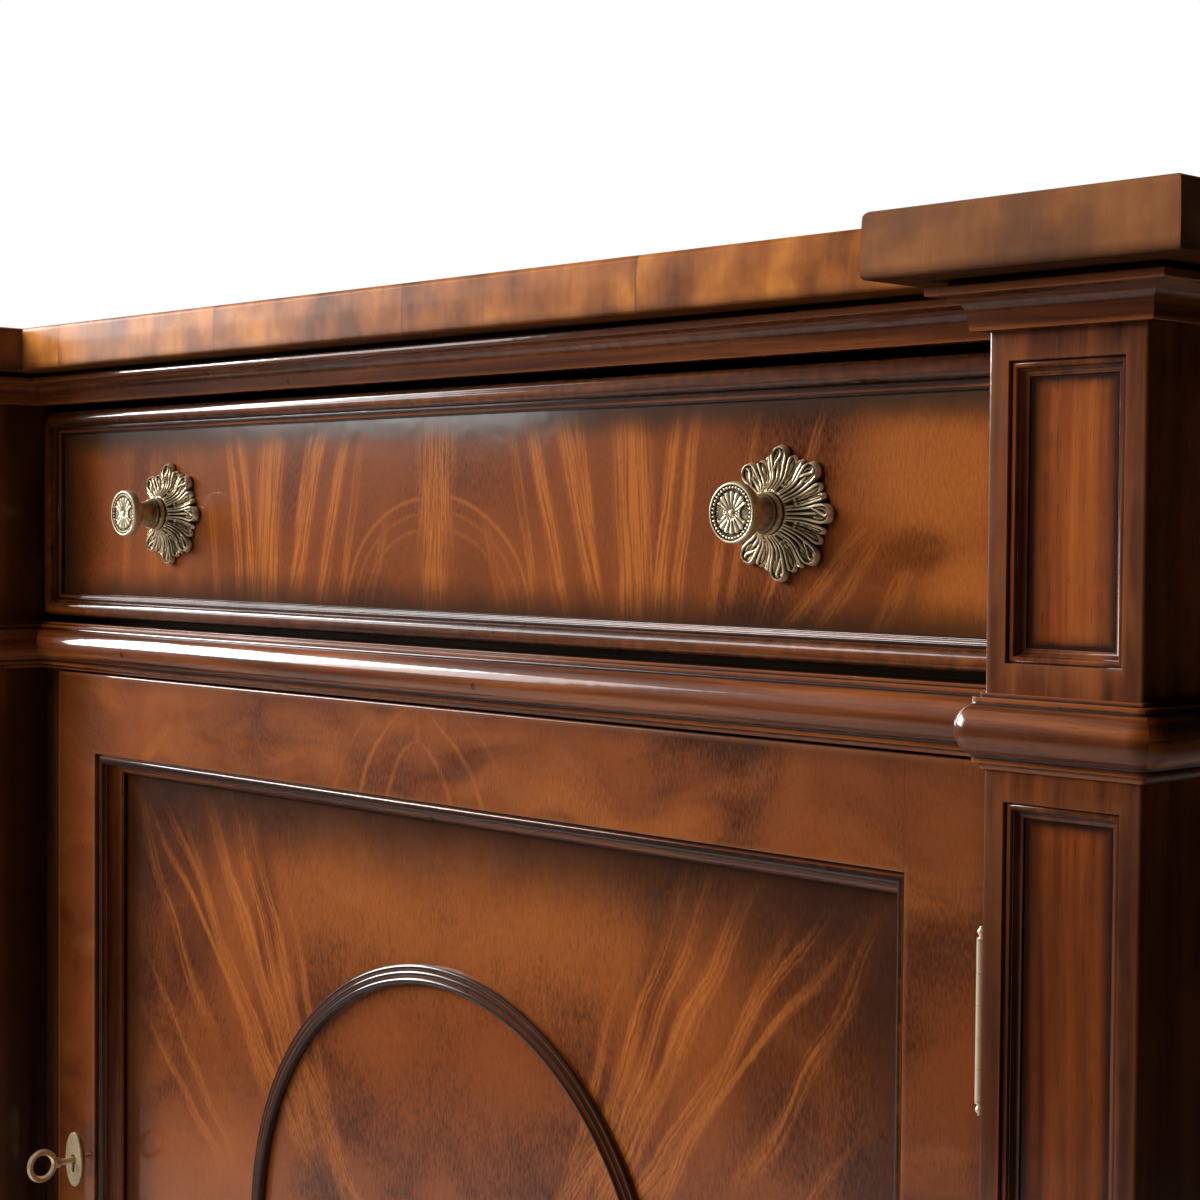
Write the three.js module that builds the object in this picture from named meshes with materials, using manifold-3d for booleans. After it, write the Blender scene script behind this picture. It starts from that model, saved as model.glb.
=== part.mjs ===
// Breakfront side cabinet in mahogany: one full-width drawer above one cupboard door.
// Millimetres, +Z up, X to the right, the front towards -Y, origin on the floor under the middle.
import * as THREE from "three";
import { mergeVertices } from "three/addons/utils/BufferGeometryUtils.js";
import Module from "manifold-3d";

const wasm = await Module();
wasm.setup();

// Overall sizes.
const height = 914;
const caseWidth = 905;
const topDepth = 450;
const topOverhang = 34.5;
const backOverhang = 5;
const breakfront = 34;
const pilasterWidth = 70;
const pilasterDepth = 54;
const fit = 0.3; // glue line or clearance between two pieces that meet
const overrun = 4; // how far a cut runs past the face that it enters

// Heights of the horizontal bands, from the top down; the lower pilasters take what is left.
const slabThickness = 26;
const slabRound = 1.5;
const corniceHeight = 19;
const friezeHeight = 136;
const midMouldingHeight = 29;
const plinthHeight = 92;

// Case boards and rails.
const sideThickness = 20;
const backThickness = 8;
const subTopThickness = 17.7;
const dustBoardThickness = 22;
const bottomBoardThickness = 20;
const railDepth = 20;
const jambWidth = 18;
const jambThickness = 20;
const jambSetBack = 2.5;
const guideWidth = 22;
const guideHeight = 26;
const stopWidth = 20;
const stopDepth = 14;
const stopHeight = 26;

// Cornice section: outward reach and rise of each member.
const corniceBandReach = 5.2;
const corniceBandFlare = 1;
const corniceBandRise = 6.5;
const corniceCoveReach = 9.6;
const corniceCoveRise = 6.4;
const corniceFilletReach = 17.4;
const corniceQuirkReach = 11;
const corniceQuirkRise = 2.4;

// Mid moulding section: a big torus between fillets.
const torusReach = 11.5;
const torusHalfRise = 10.05;
const torusCentreReach = 2.5;
const neckFilletReach = 4.7;
const neckCoveRise = 2.6;
const neckFilletRise = 2.3;
const midFilletReach = 4.5;
const midFilletRise = 2.4;
const midStepReach = 1.3;
const midStepRise = 1.6;

// Plinth section: a flat board with a bead and a cove on its top edge.
const plinthReach = 12;
const plinthBeadRadius = 6;
const plinthBeadBase = 66;
const plinthCapReach = 3.4;
const plinthCapRise = 3;

// Sunk panels of the pilasters.
const postStile = 9;
const upperPostRail = 11;
const lowerPostRail = 11.5;
const postPanelDepth = 6;
const postPanelStep = 2;
const postPanelBead = 3;
const postPanelMargin = 6.5;

// Drawer.
const drawerEdgeGap = 4.25; // above and below the front, to the mouldings of the case
const drawerFrontGap = 0.8;
const drawerFaceBehindBay = 6.5; // the flat panel lies this far behind the bay's front
const drawerCoreThickness = 18;
const drawerMouldingWidth = 14;
const drawerMouldingRise = 8;
const drawerBeadRadius = 3.5;
const drawerQuirkWidth = 1.4;
const drawerQuirkRise = 3.4;
const drawerFilletRise = 4.6;
const drawerFilletWidth = 0.8;
const drawerToeRise = 1.6;
const drawerToeWidth = 1.2;
const drawerSideInset = 6;
const drawerSideThickness = 12;
const drawerSideHeight = 108;
const drawerBackRoom = 13.4; // between the drawer and the back panel
const drawerBackThickness = 12;
const drawerBackHeight = 96;
const drawerBottomThickness = 6;
const drawerBottomHeight = 10;
const drawerGrooveDepth = 5;

// Knobs of the drawer, turned brass on leaf rosettes.
const knobInset = 138.7; // from the drawer front's end
const knobReach = 34;
const knobHeadRadius = 13.4;
const knobHeadThickness = 5.6;
const knobHeadRound = 1.3;
const knobDish = 0.9;
const knobRimWidth = 1.3;
const knobNeckRadius = 8.2;
const knobNeckFlare = 0.7;
const knobBaseRadius = 9.2;
const knobBaseThickness = 3;
const knobBoreRadius = 2.4;
const knobBoreDepth = 12;
const rosetteRadius = 30;
const rosetteHubRadius = 9.6;
const rosetteHubRise = 10.6;
const rosetteRimRise = 3.6;
const rosetteFieldRise = 2.6;
const rosetteWall = 1.6;
const rosetteBoreRadius = 2.6;
const rosetteSpring = 2;
const screwRadius = 2;
const screwBite = 9;
const screwHeadRadius = 4.5;
const screwHeadThickness = 2.4;

// Door.
const doorTopGap = 1.4;
const doorBottomGap = 2;
const doorProud = 1.3; // its face in front of the bay's face
const doorThickness = 22;
const doorStileWidth = 43.5;
const doorRailHeight = 49;
const doorPanelSink = 16;
const doorPanelThickness = 5;
const doorMouldingWidth = 12;
const doorMouldingTop = 13.4;
const doorBeadRadius = 2.4;
const doorBeadShoulder = 0.9;
const doorQuirkWidth = 0.8;
const doorCoveFoot = 3;
const doorToeRise = 2.3;
const doorToeWidth = 1.3;
const ringOuterRadius = 168;
const ringWidth = 10;
const ringRise = 5;
const ringBeadRise = 3.4;
const ringGrooveDepth = 0.9;

// Hinges with ball finials; their barrels stand proud, so that the door clears the pilaster.
const hingeBarrelRadius = 1.8;
const hingeBarrelLength = 64;
const hingeProud = 6.5;
const hingeTopToDoorTop = 69.7;
const hingeLeafThickness = 0.9;
const hingeLeafDepth = 14;
const hingeLeafGap = 0.2;
const hingePinRadius = 1;
const hingePinPlay = 0.2;
const finialLength = 5.6;
const finialRadius = 1.5;
const finialNeckRadius = 0.8;
const finialTipRadius = 0.9;
const knuckleGap = 0.3;

// Lock, key and keyhole plate on the free stile.
const lockWidth = 40;
const lockHeight = 56;
const lockDepth = 14;
const lockWall = 2.4;
const boltLength = 26;
const boltHeight = 12;
const boltThickness = 5;
const boltAboveKey = 9;
const boltPlay = 0.4;
const keyShaftRadius = 2;
const keyholeRadius = 3.3;
const keySlotWidth = 3;
const keySlotDrop = 8;
const keyBitDrop = 7;
const keyBitLength = 5.6;
const keyBitThickness = 1.6;
const keyShaftOut = 12;
const keyCollarRadius = 3.2;
const keyCollarLength = 3;
const keyBowRadius = 8.4;
const keyBowWire = 2;
const plateWidth = 19;
const plateHeight = 34;
const plateThickness = 1.6;
const plateBevel = 0.5;

// Adjustable shelf and its pins.
const shelfThickness = 18;
const shelfSideGap = 1.4;
const shelfFrontSetBack = 32;
const shelfBackGap = 6;
const shelfRise = 300;
const pinRadius = 2.5;
const pinLength = 17;
const pinDepthInSide = 8;
const pinCollarRadius = 4;
const pinCollarThickness = 1.5;
const pinFromFront = 46;
const pinFromBack = 60;
const pinHoleRadius = 2.8;
const pinHolePitch = 64;

// How finely round shapes are cut.
const arcSteps = 3;
const turnedSides = 24;
const smallSides = 12;
const ringSides = 64;
const lobeCount = 8;
const rosetteSides = 64;

// Places worked out from the sizes above.
const half = 0.5;
const frontOfTop = -topDepth * half;
const backOfTop = topDepth * half;
const pilasterFront = frontOfTop + topOverhang;
const bayFront = pilasterFront + breakfront;
const caseBack = backOfTop - backOverhang;
const postBack = pilasterFront + pilasterDepth;
const caseHalf = caseWidth * half;
const bayHalf = caseHalf - pilasterWidth;
const slabBottom = height - slabThickness;
const corniceBottom = slabBottom - corniceHeight;
const midTop = corniceBottom - friezeHeight;
const midBottom = midTop - midMouldingHeight;
const postJoint = midBottom + midMouldingHeight * half;
const insideHalf = caseHalf - sideThickness - fit;
const insideBack = caseBack - backThickness - fit;
const drawerCentreHeight = midTop + friezeHeight * half;
const drawerFace = bayFront + drawerFaceBehindBay;
const doorFront = bayFront - doorProud;
const doorBack = doorFront + doorThickness;
const doorTop = midBottom - doorTopGap;
const doorBottom = plinthHeight + doorBottomGap;
const doorMiddle = (doorTop + doorBottom) * half;
const drawerFrontHeight = friezeHeight - drawerEdgeGap - drawerEdgeGap;
const dustBoardTop = midTop + drawerEdgeGap - fit;
const jambOuter = bayHalf - fit;
const jambInner = jambOuter - jambWidth;
const hingeX = jambInner - fit - hingeLeafThickness - hingeLeafGap;
const doorHalf = hingeX - hingeLeafGap - hingeLeafThickness - fit;
const hingeY = doorFront - hingeProud;

// Finishes. Each piece gets a material of its own.
const finishes = {
  flame: { color: 0x7a3512, roughness: 0.24, metalness: 0 },
  border: { color: 0x6b2d10, roughness: 0.26, metalness: 0 },
  solid: { color: 0x52200c, roughness: 0.28, metalness: 0 },
  inside: { color: 0xa9794a, roughness: 0.6, metalness: 0 },
  brass: { color: 0x8f7a4e, roughness: 0.38, metalness: 1 },
  steel: { color: 0x8c8a86, roughness: 0.45, metalness: 1 },
};

function group(parent, x = 0, y = 0, z = 0) {
  const made = new THREE.Group();
  made.position.set(x, y, z);
  if (parent) parent.add(made);
  return made;
}

function piece(parent, name, finish, geometry, x = 0, y = 0, z = 0) {
  const mesh = new THREE.Mesh(geometry, new THREE.MeshStandardMaterial(finishes[finish]));
  mesh.name = name;
  mesh.position.set(x, y, z);
  parent.add(mesh);
  return mesh;
}

// A square-edged board between two opposite corners.
function board(parent, name, finish, [x0, x1], [y0, y1], [z0, z1]) {
  const geometry = new THREE.BoxGeometry(x1 - x0, y1 - y0, z1 - z0);
  return piece(parent, name, finish, geometry, (x0 + x1) * half, (y0 + y1) * half, (z0 + z1) * half);
}

// Joining and cutting.
function toSolid(geometry) {
  const bare = geometry.clone();
  bare.deleteAttribute("normal");
  bare.deleteAttribute("uv");
  const merged = mergeVertices(bare);
  const mesh = new wasm.Mesh({
    numProp: 3,
    vertProperties: merged.attributes.position.array,
    triVerts: new Uint32Array(merged.index.array),
  });
  return new wasm.Manifold(mesh);
}

function toGeometry(solid) {
  const mesh = solid.getMesh();
  const geometry = new THREE.BufferGeometry();
  geometry.setAttribute("position", new THREE.BufferAttribute(mesh.vertProperties, mesh.numProp));
  geometry.setIndex(new THREE.BufferAttribute(mesh.triVerts, 1));
  geometry.computeVertexNormals();
  return geometry;
}

function carve(body, cutters) {
  return toGeometry(cutters.reduce((left, cutter) => left.subtract(toSolid(cutter)), toSolid(body)));
}

function join(parts) {
  return toGeometry(parts.slice(1).reduce((all, part) => all.add(toSolid(part)), toSolid(parts[0])));
}

// A box given by its corners, for joining and cutting.
function block([x0, x1], [y0, y1], [z0, z1]) {
  const geometry = new THREE.BoxGeometry(x1 - x0, y1 - y0, z1 - z0);
  return geometry.translate((x0 + x1) * half, (y0 + y1) * half, (z0 + z1) * half);
}

// A cylinder between two places along one axis.
function rod(axis, radius, from, to, [a, b], sides = smallSides) {
  const geometry = new THREE.CylinderGeometry(radius, radius, to - from, sides);
  const middle = (from + to) * half;
  if (axis === "x") return geometry.rotateZ(Math.PI * half).translate(middle, a, b);
  if (axis === "z") return geometry.rotateX(Math.PI * half).translate(a, b, middle);
  return geometry.translate(a, middle, b);
}

// The points of a closed section drawn with lines and arcs, anticlockwise and with none twice.
function section(draw) {
  const shape = new THREE.Shape();
  draw(shape);
  const points = shape.getPoints(arcSteps);
  const kept = points.filter((p, i) => i === 0 || p.distanceTo(points[i - 1]) > fit * fit * half);
  if (kept.length > 1 && kept[0].distanceTo(kept[kept.length - 1]) < fit * fit) kept.pop();
  return THREE.ShapeUtils.isClockWise(kept) ? kept.reverse() : kept;
}

// A closed surface through rings of equally many points, capped at both ends or closed on itself.
function loft(rings, caps) {
  const count = rings[0].length;
  const index = [];
  const spans = caps ? rings.length - 1 : rings.length;
  for (let r = 0; r < spans; r++) {
    const here = r * count;
    const next = ((r + 1) % rings.length) * count;
    for (let i = 0; i < count; i++) {
      const j = (i + 1) % count;
      index.push(here + i, here + j, next + j, here + i, next + j, next + i);
    }
  }
  const last = (rings.length - 1) * count;
  for (const [i, j, k] of caps || []) {
    index.push(i, k, j);
    index.push(last + i, last + j, last + k);
  }
  const geometry = new THREE.BufferGeometry().setFromPoints(rings.flat());
  geometry.setIndex(index);
  geometry.computeVertexNormals();
  return geometry;
}

// A moulding that follows a path in plan, mitred at every corner. Its section is drawn as reach
// outwards from the path and height; the outside is on the left of the path's direction.
function planMoulding(points, path, before, after) {
  const turnLeft = (d) => new THREE.Vector2(-d.y, d.x);
  const directions = path.slice(1).map((p, i) => p.clone().sub(path[i]).normalize());
  const rings = path.map((corner, i) => {
    const arriving = turnLeft(directions[i - 1] || before || directions[0]);
    const leaving = turnLeft(directions[i] || after || directions[i - 1]);
    const mitre = arriving.clone().add(leaving).divideScalar(1 + arriving.dot(leaving));
    return points.map((p) => new THREE.Vector3(corner.x + mitre.x * p.x, corner.y + mitre.y * p.x, p.y));
  });
  return loft(rings, THREE.ShapeUtils.triangulateShape(points, []));
}

// A moulding round the inside of a rectangle that stands upright, mitred at its four corners. Its
// section is drawn as distance inwards from the outline and rise towards the front.
function frameMoulding(points, halfWidth, halfHeight) {
  const corners = [[1, 1], [-1, 1], [-1, -1], [1, -1]];
  const rings = corners.map(([sx, sz]) =>
    points.map((p) => new THREE.Vector3(sx * (halfWidth - p.x), -p.y, sz * (halfHeight - p.x))),
  );
  return loft(rings, null);
}

// A solid whose cross-sections are rectangles: half width, half height and place along Y of each.
function steppedPocket(steps) {
  const corners = [[-1, -1], [-1, 1], [1, 1], [1, -1]];
  const rings = steps.map(([w, h, y]) => corners.map(([sx, sz]) => new THREE.Vector3(sx * w, y, sz * h)));
  return loft(rings, [[0, 1, 2], [0, 2, 3]]);
}

// A flat outline in plan, raised by a height; round is the radius of its edges.
function slab(outline, thickness, round = 0) {
  const shape = new THREE.Shape(outline.map(([x, y]) => new THREE.Vector2(x, y)));
  const geometry = new THREE.ExtrudeGeometry(shape, {
    depth: thickness - round - round,
    bevelEnabled: round > 0,
    bevelThickness: round,
    bevelSize: round,
    bevelOffset: -round,
    bevelSegments: 2,
  });
  return geometry.translate(0, 0, round);
}

// A section in X and Z, drawn out along Y from 0 to a length.
function alongY(outline, length) {
  const shape = new THREE.Shape(outline.map(([x, z]) => new THREE.Vector2(x, z)));
  const geometry = new THREE.ExtrudeGeometry(shape, { depth: length, bevelEnabled: false });
  return geometry.rotateX(Math.PI * half).translate(0, length, 0);
}

// A turned piece whose axis points at the front: radius and distance forwards of each point.
function turnedForwards(profile, sides) {
  const points = profile.map(([radius, out]) => new THREE.Vector2(radius, out));
  return new THREE.LatheGeometry(points, sides).rotateX(Math.PI);
}

// A turned piece whose axis is upright: radius and height of each point.
function turnedUpright(profile, sides) {
  const points = profile.map(([radius, rise]) => new THREE.Vector2(radius, rise));
  return new THREE.LatheGeometry(points, sides).rotateX(Math.PI * half);
}

const cabinet = new THREE.Group();
const carcase = group(cabinet);

// The top: one slab that steps forwards over each pilaster.
const blockInner = bayHalf - topOverhang;
const bayEdge = bayFront - topOverhang;
const topHalf = caseHalf + topOverhang;
const topOutline = [
  [-topHalf, frontOfTop],
  [-blockInner, frontOfTop],
  [-blockInner, bayEdge],
  [blockInner, bayEdge],
  [blockInner, frontOfTop],
  [topHalf, frontOfTop],
  [topHalf, backOfTop],
  [-topHalf, backOfTop],
];
piece(carcase, "top_slab", "flame", slab(topOutline, slabThickness, slabRound), 0, 0, slabBottom);

// Boards that lie across the case: they reach forwards between the pilasters and widen behind them.
function crossBoard(name, finish, front, bottom, thickness) {
  const outline = [
    [-jambOuter, front],
    [jambOuter, front],
    [jambOuter, postBack + fit],
    [insideHalf, postBack + fit],
    [insideHalf, insideBack],
    [-insideHalf, insideBack],
    [-insideHalf, postBack + fit],
    [-jambOuter, postBack + fit],
  ];
  return piece(carcase, name, finish, slab(outline, thickness), 0, 0, bottom);
}
crossBoard("sub_top", "inside", bayFront, slabBottom - fit - subTopThickness, subTopThickness);
crossBoard("bottom_board", "inside", bayFront, plinthHeight - bottomBoardThickness, bottomBoardThickness);

// The mid rail closes the gap between drawer and door; the dust board lies level behind it.
const midRailBack = postBack;
board(carcase, "mid_rail", "solid", [-jambOuter, jambOuter], [midRailBack - railDepth, midRailBack],
  [midBottom, midTop]);
board(carcase, "dust_board", "inside", [-insideHalf, insideHalf], [midRailBack + fit, insideBack],
  [dustBoardTop - dustBoardThickness, dustBoardTop]);

// Sides, with holes for the shelf pins at three heights, and the back.
const pinHeight = plinthHeight + shelfRise;
const pinPlaces = [postBack + pinFromFront, caseBack - pinFromBack];
const holeHeights = [pinHeight - pinHolePitch, pinHeight, pinHeight + pinHolePitch];
for (const [side, name] of [[-1, "left"], [1, "right"]]) {
  const inner = caseHalf - sideThickness;
  const across = [side * inner, side * caseHalf].sort((a, b) => a - b);
  const holes = pinPlaces.flatMap((y) => holeHeights.map((z) => {
    const ends = [side * (inner - overrun), side * (inner + pinDepthInSide)].sort((a, b) => a - b);
    return rod("x", pinHoleRadius, ends[0], ends[1], [y, z]);
  }));
  const panel = block(across, [postBack + fit, caseBack], [0, slabBottom - fit]);
  piece(carcase, "side_" + name, "border", carve(panel, holes));
}
board(carcase, "back_panel", "inside", [-insideHalf, insideHalf], [caseBack - backThickness, caseBack],
  [0, slabBottom - fit]);

// Pilasters: square posts with a sunk panel. The upper ones stand on the lower ones behind the
// mid moulding, and the lower ones run down to the floor behind the plinth.
function pocket(halfWidth, halfHeight) {
  const bead = postPanelBead + postPanelStep * half;
  return steppedPocket([
    [halfWidth, halfHeight, -overrun],
    [halfWidth, halfHeight, postPanelStep],
    [halfWidth - postPanelBead, halfHeight - postPanelBead, postPanelStep * half],
    [halfWidth - bead, halfHeight - bead, postPanelStep + postPanelStep],
    [halfWidth - postPanelMargin, halfHeight - postPanelMargin, postPanelDepth - postPanelStep * half],
    [halfWidth - postPanelMargin, halfHeight - postPanelMargin, postPanelDepth],
  ]);
}

function pilaster(name, x, bottom, top, panelBottom, panelTop) {
  const body = block([-pilasterWidth * half, pilasterWidth * half], [0, pilasterDepth], [bottom, top]);
  const sunk = pocket(pilasterWidth * half - postStile, (panelTop - panelBottom) * half);
  sunk.translate(0, 0, (panelTop + panelBottom) * half);
  piece(carcase, name, "border", carve(body, [sunk]), x, pilasterFront, 0);
}

for (const [side, name] of [[-1, "left"], [1, "right"]]) {
  const x = side * (bayHalf + pilasterWidth * half);
  pilaster("pilaster_upper_" + name, x, postJoint + fit, slabBottom - fit,
    midTop + upperPostRail, corniceBottom - upperPostRail);
  pilaster("pilaster_lower_" + name, x, 0, postJoint,
    plinthHeight + lowerPostRail, midBottom - lowerPostRail);
}

// Jambs between the pilasters and the door.
for (const [side, name] of [[-1, "left"], [1, "right"]]) {
  const across = [side * jambInner, side * jambOuter].sort((a, b) => a - b);
  board(carcase, "jamb_" + name, "solid", across,
    [bayFront + jambSetBack, bayFront + jambSetBack + jambThickness], [plinthHeight + fit, midBottom - fit]);
}

// Sections of the three mouldings that run round the case, with heights from the band's bottom.
const corniceSection = section((s) => {
  const coveTop = corniceBandRise + corniceCoveRise;
  const coveOut = corniceBandReach + corniceBandFlare + corniceCoveReach;
  const filletTop = corniceHeight - fit - corniceQuirkRise;
  s.moveTo(fit, 0);
  s.lineTo(corniceBandReach, 0);
  s.lineTo(corniceBandReach + corniceBandFlare, corniceBandRise);
  s.absellipse(coveOut, corniceBandRise, corniceCoveReach, corniceCoveRise, Math.PI, Math.PI * half, true);
  s.lineTo(corniceFilletReach, coveTop);
  s.lineTo(corniceFilletReach, filletTop);
  s.lineTo(corniceQuirkReach, filletTop);
  s.lineTo(corniceQuirkReach, corniceHeight - fit);
  s.lineTo(fit, corniceHeight - fit);
});

const torusSweepShare = 0.42; // of half a turn, so that the torus ends under the fillets
const midSection = section((s) => {
  const torusCentre = neckCoveRise + neckFilletRise + torusHalfRise;
  const sweep = Math.PI * torusSweepShare;
  const stepBottom = midMouldingHeight - midStepRise;
  s.moveTo(fit, 0);
  s.lineTo(midStepReach, 0);
  s.absellipse(neckFilletReach, 0, neckFilletReach - midStepReach, neckCoveRise, Math.PI, Math.PI * half, true);
  s.lineTo(neckFilletReach, neckCoveRise + neckFilletRise * half);
  s.absellipse(torusCentreReach, torusCentre, torusReach - torusCentreReach, torusHalfRise, -sweep, sweep, false);
  s.lineTo(midFilletReach, stepBottom - midFilletRise * half);
  s.lineTo(midFilletReach, stepBottom);
  s.lineTo(midStepReach, stepBottom);
  s.lineTo(midStepReach, midMouldingHeight);
  s.lineTo(fit, midMouldingHeight);
});

const plinthSection = section((s) => {
  const beadTop = plinthBeadBase + plinthBeadRadius + plinthBeadRadius;
  const capBottom = plinthHeight - plinthCapRise;
  const beadCentre = plinthReach - plinthBeadRadius;
  s.moveTo(fit, 0);
  s.lineTo(plinthReach, 0);
  s.lineTo(plinthReach, plinthBeadBase - plinthCapRise);
  s.lineTo(beadCentre, plinthBeadBase);
  s.absarc(beadCentre, plinthBeadBase + plinthBeadRadius, plinthBeadRadius, -Math.PI * half, Math.PI * half, false);
  s.absellipse(beadCentre, capBottom, beadCentre - plinthCapReach, capBottom - beadTop,
    -Math.PI * half, -Math.PI, true);
  s.lineTo(plinthCapReach, plinthHeight);
  s.lineTo(fit, plinthHeight);
});

// Each runs across the front, in and out round the pilasters, and back along both sides. The
// pieces are mitred together at the front corners.
const frontPath = [
  [caseHalf, pilasterFront],
  [bayHalf, pilasterFront],
  [bayHalf, bayFront],
  [-bayHalf, bayFront],
  [-bayHalf, pilasterFront],
  [-caseHalf, pilasterFront],
].map(([x, y]) => new THREE.Vector2(x, y));
const forwards = new THREE.Vector2(0, -1);
const backwards = new THREE.Vector2(0, 1);
const leftwards = new THREE.Vector2(-1, 0);
const mitreStart = pilasterFront + fit + fit;

for (const [name, points, bottom] of [
  ["cornice", corniceSection, corniceBottom],
  ["mid_moulding", midSection, midBottom],
  ["plinth", plinthSection, 0],
]) {
  const right = [new THREE.Vector2(caseHalf, caseBack), new THREE.Vector2(caseHalf, mitreStart)];
  const left = [new THREE.Vector2(-caseHalf, mitreStart), new THREE.Vector2(-caseHalf, caseBack)];
  piece(carcase, name + "_front", "solid", planMoulding(points, frontPath, forwards, backwards), 0, 0, bottom);
  piece(carcase, name + "_right", "solid", planMoulding(points, right, null, leftwards), 0, 0, bottom);
  piece(carcase, name + "_left", "solid", planMoulding(points, left, leftwards, null), 0, 0, bottom);
}

// Shelf on four pins.
board(carcase, "shelf", "inside", [-insideHalf + shelfSideGap, insideHalf - shelfSideGap],
  [postBack + shelfFrontSetBack, insideBack - shelfBackGap],
  [pinHeight + pinRadius + fit, pinHeight + pinRadius + fit + shelfThickness]);
for (const [side, sideName] of [[-1, "left"], [1, "right"]]) {
  for (const [y, endName] of [[pinPlaces[0], "front"], [pinPlaces[1], "rear"]]) {
    const inner = caseHalf - sideThickness;
    const profile = [
      [0, -pinDepthInSide + fit],
      [pinRadius, -pinDepthInSide + fit],
      [pinRadius, fit],
      [pinCollarRadius, fit],
      [pinCollarRadius, pinCollarThickness],
      [pinRadius, pinCollarThickness],
      [pinRadius, pinLength - pinDepthInSide],
      [0, pinLength - pinDepthInSide],
    ];
    const pin = turnedForwards(profile, smallSides).rotateZ(-side * Math.PI * half);
    const seat = side * inner;
    piece(carcase, "shelf_pin_" + sideName + "_" + endName, "brass", pin, seat, y, pinHeight);
  }
}

// Drawer. Its group has its origin on the flat panel of the front, at the height of the knobs.
const drawer = group(cabinet, 0, drawerFace, drawerCentreHeight);
const frontHalfWidth = bayHalf - drawerFrontGap;
const frontHalfHeight = drawerFrontHeight * half;
const knobHalf = frontHalfWidth - knobInset;
const knobBores = [-knobHalf, knobHalf].map((x) =>
  rod("y", screwRadius + fit, -overrun, drawerCoreThickness + overrun, [x, 0]));
piece(drawer, "drawer_front", "flame", carve(
  block([-frontHalfWidth, frontHalfWidth], [0, drawerCoreThickness], [-frontHalfHeight, frontHalfHeight]),
  knobBores));

const drawerMouldingSection = section((s) => {
  const beadBase = drawerMouldingRise - drawerBeadRadius;
  const quirkEnd = drawerBeadRadius + drawerBeadRadius + drawerQuirkWidth;
  const coveStart = quirkEnd + drawerFilletWidth;
  const coveEnd = drawerMouldingWidth - drawerToeWidth;
  s.moveTo(0, fit);
  s.lineTo(drawerMouldingWidth, fit);
  s.lineTo(drawerMouldingWidth, drawerToeRise);
  s.lineTo(coveEnd, drawerToeRise);
  s.absellipse(coveEnd, drawerFilletRise, coveEnd - coveStart, drawerFilletRise - drawerToeRise,
    -Math.PI * half, -Math.PI, true);
  s.lineTo(quirkEnd, drawerFilletRise);
  s.lineTo(quirkEnd, drawerQuirkRise);
  s.lineTo(drawerBeadRadius + drawerBeadRadius, drawerQuirkRise);
  s.absarc(drawerBeadRadius, beadBase, drawerBeadRadius, 0, Math.PI, false);
});
piece(drawer, "drawer_moulding", "solid", frameMoulding(drawerMouldingSection, frontHalfWidth, frontHalfHeight));

// The box behind the front: grooved sides that run on the dust board, a back and a thin bottom.
const sideOuter = frontHalfWidth - drawerSideInset;
const sideInner = sideOuter - drawerSideThickness;
const boxFront = drawerCoreThickness + fit;
const boxBack = insideBack - drawerBackRoom - drawerFace;
const drawerBoxDepth = boxBack - boxFront;
const sideBottom = dustBoardTop + fit - drawerCentreHeight;
const grooveLow = sideBottom + drawerBottomHeight - fit;
const grooveHigh = grooveLow + drawerBottomThickness + fit + fit;
for (const [side, name] of [[-1, "left"], [1, "right"]]) {
  const groove = sideInner + drawerGrooveDepth;
  const outline = [
    [sideInner, sideBottom],
    [sideOuter, sideBottom],
    [sideOuter, sideBottom + drawerSideHeight],
    [sideInner, sideBottom + drawerSideHeight],
    [sideInner, grooveHigh],
    [groove, grooveHigh],
    [groove, grooveLow],
    [sideInner, grooveLow],
  ].map(([x, z]) => [side * x, z]);
  piece(drawer, "drawer_side_" + name, "inside", alongY(outline, drawerBoxDepth), 0, boxFront, 0);
}
board(drawer, "drawer_bottom", "inside",
  [-sideInner - drawerGrooveDepth + fit, sideInner + drawerGrooveDepth - fit],
  [boxFront, boxBack], [grooveLow + fit, grooveHigh - fit]);
board(drawer, "drawer_back", "inside", [-sideInner + fit, sideInner - fit],
  [boxBack - drawerBackThickness, boxBack], [grooveHigh, grooveHigh + drawerBackHeight]);

// Guides beside the drawer, standing on the dust board.
for (const [side, name] of [[-1, "left"], [1, "right"]]) {
  const across = [side * (sideOuter + fit + fit), side * (sideOuter + fit + fit + guideWidth)].sort((a, b) => a - b);
  board(carcase, "drawer_guide_" + name, "inside", across, [drawerFace + boxFront, drawerFace + boxBack],
    [dustBoardTop + fit, dustBoardTop + fit + guideHeight]);
}

// Rosette: a ring of cast leaves that rises to a hub in the middle. Its section runs from the bore
// out over the leaves to the rim and back underneath; the rim's radius follows the lobes.
const valleyShare = 0.86; // rim radius between two leaf tips, of the tip radius
const minorShare = 0.93; // reach of the small leaves between, of the tip radius
const hubFootShare = 0.62; // where the rise to the hub begins, of the tip radius
const ribShare = 0.22; // depth of the flutes, of the field's rise

function rimRadius(angle) {
  const major = Math.abs(Math.cos(lobeCount * half * angle));
  const minor = Math.abs(Math.sin(lobeCount * half * angle));
  const big = valleyShare + (1 - valleyShare) * Math.sqrt(major);
  const small = valleyShare + (minorShare - valleyShare) * Math.sqrt(minor);
  return rosetteRadius * Math.max(big, small);
}

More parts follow.
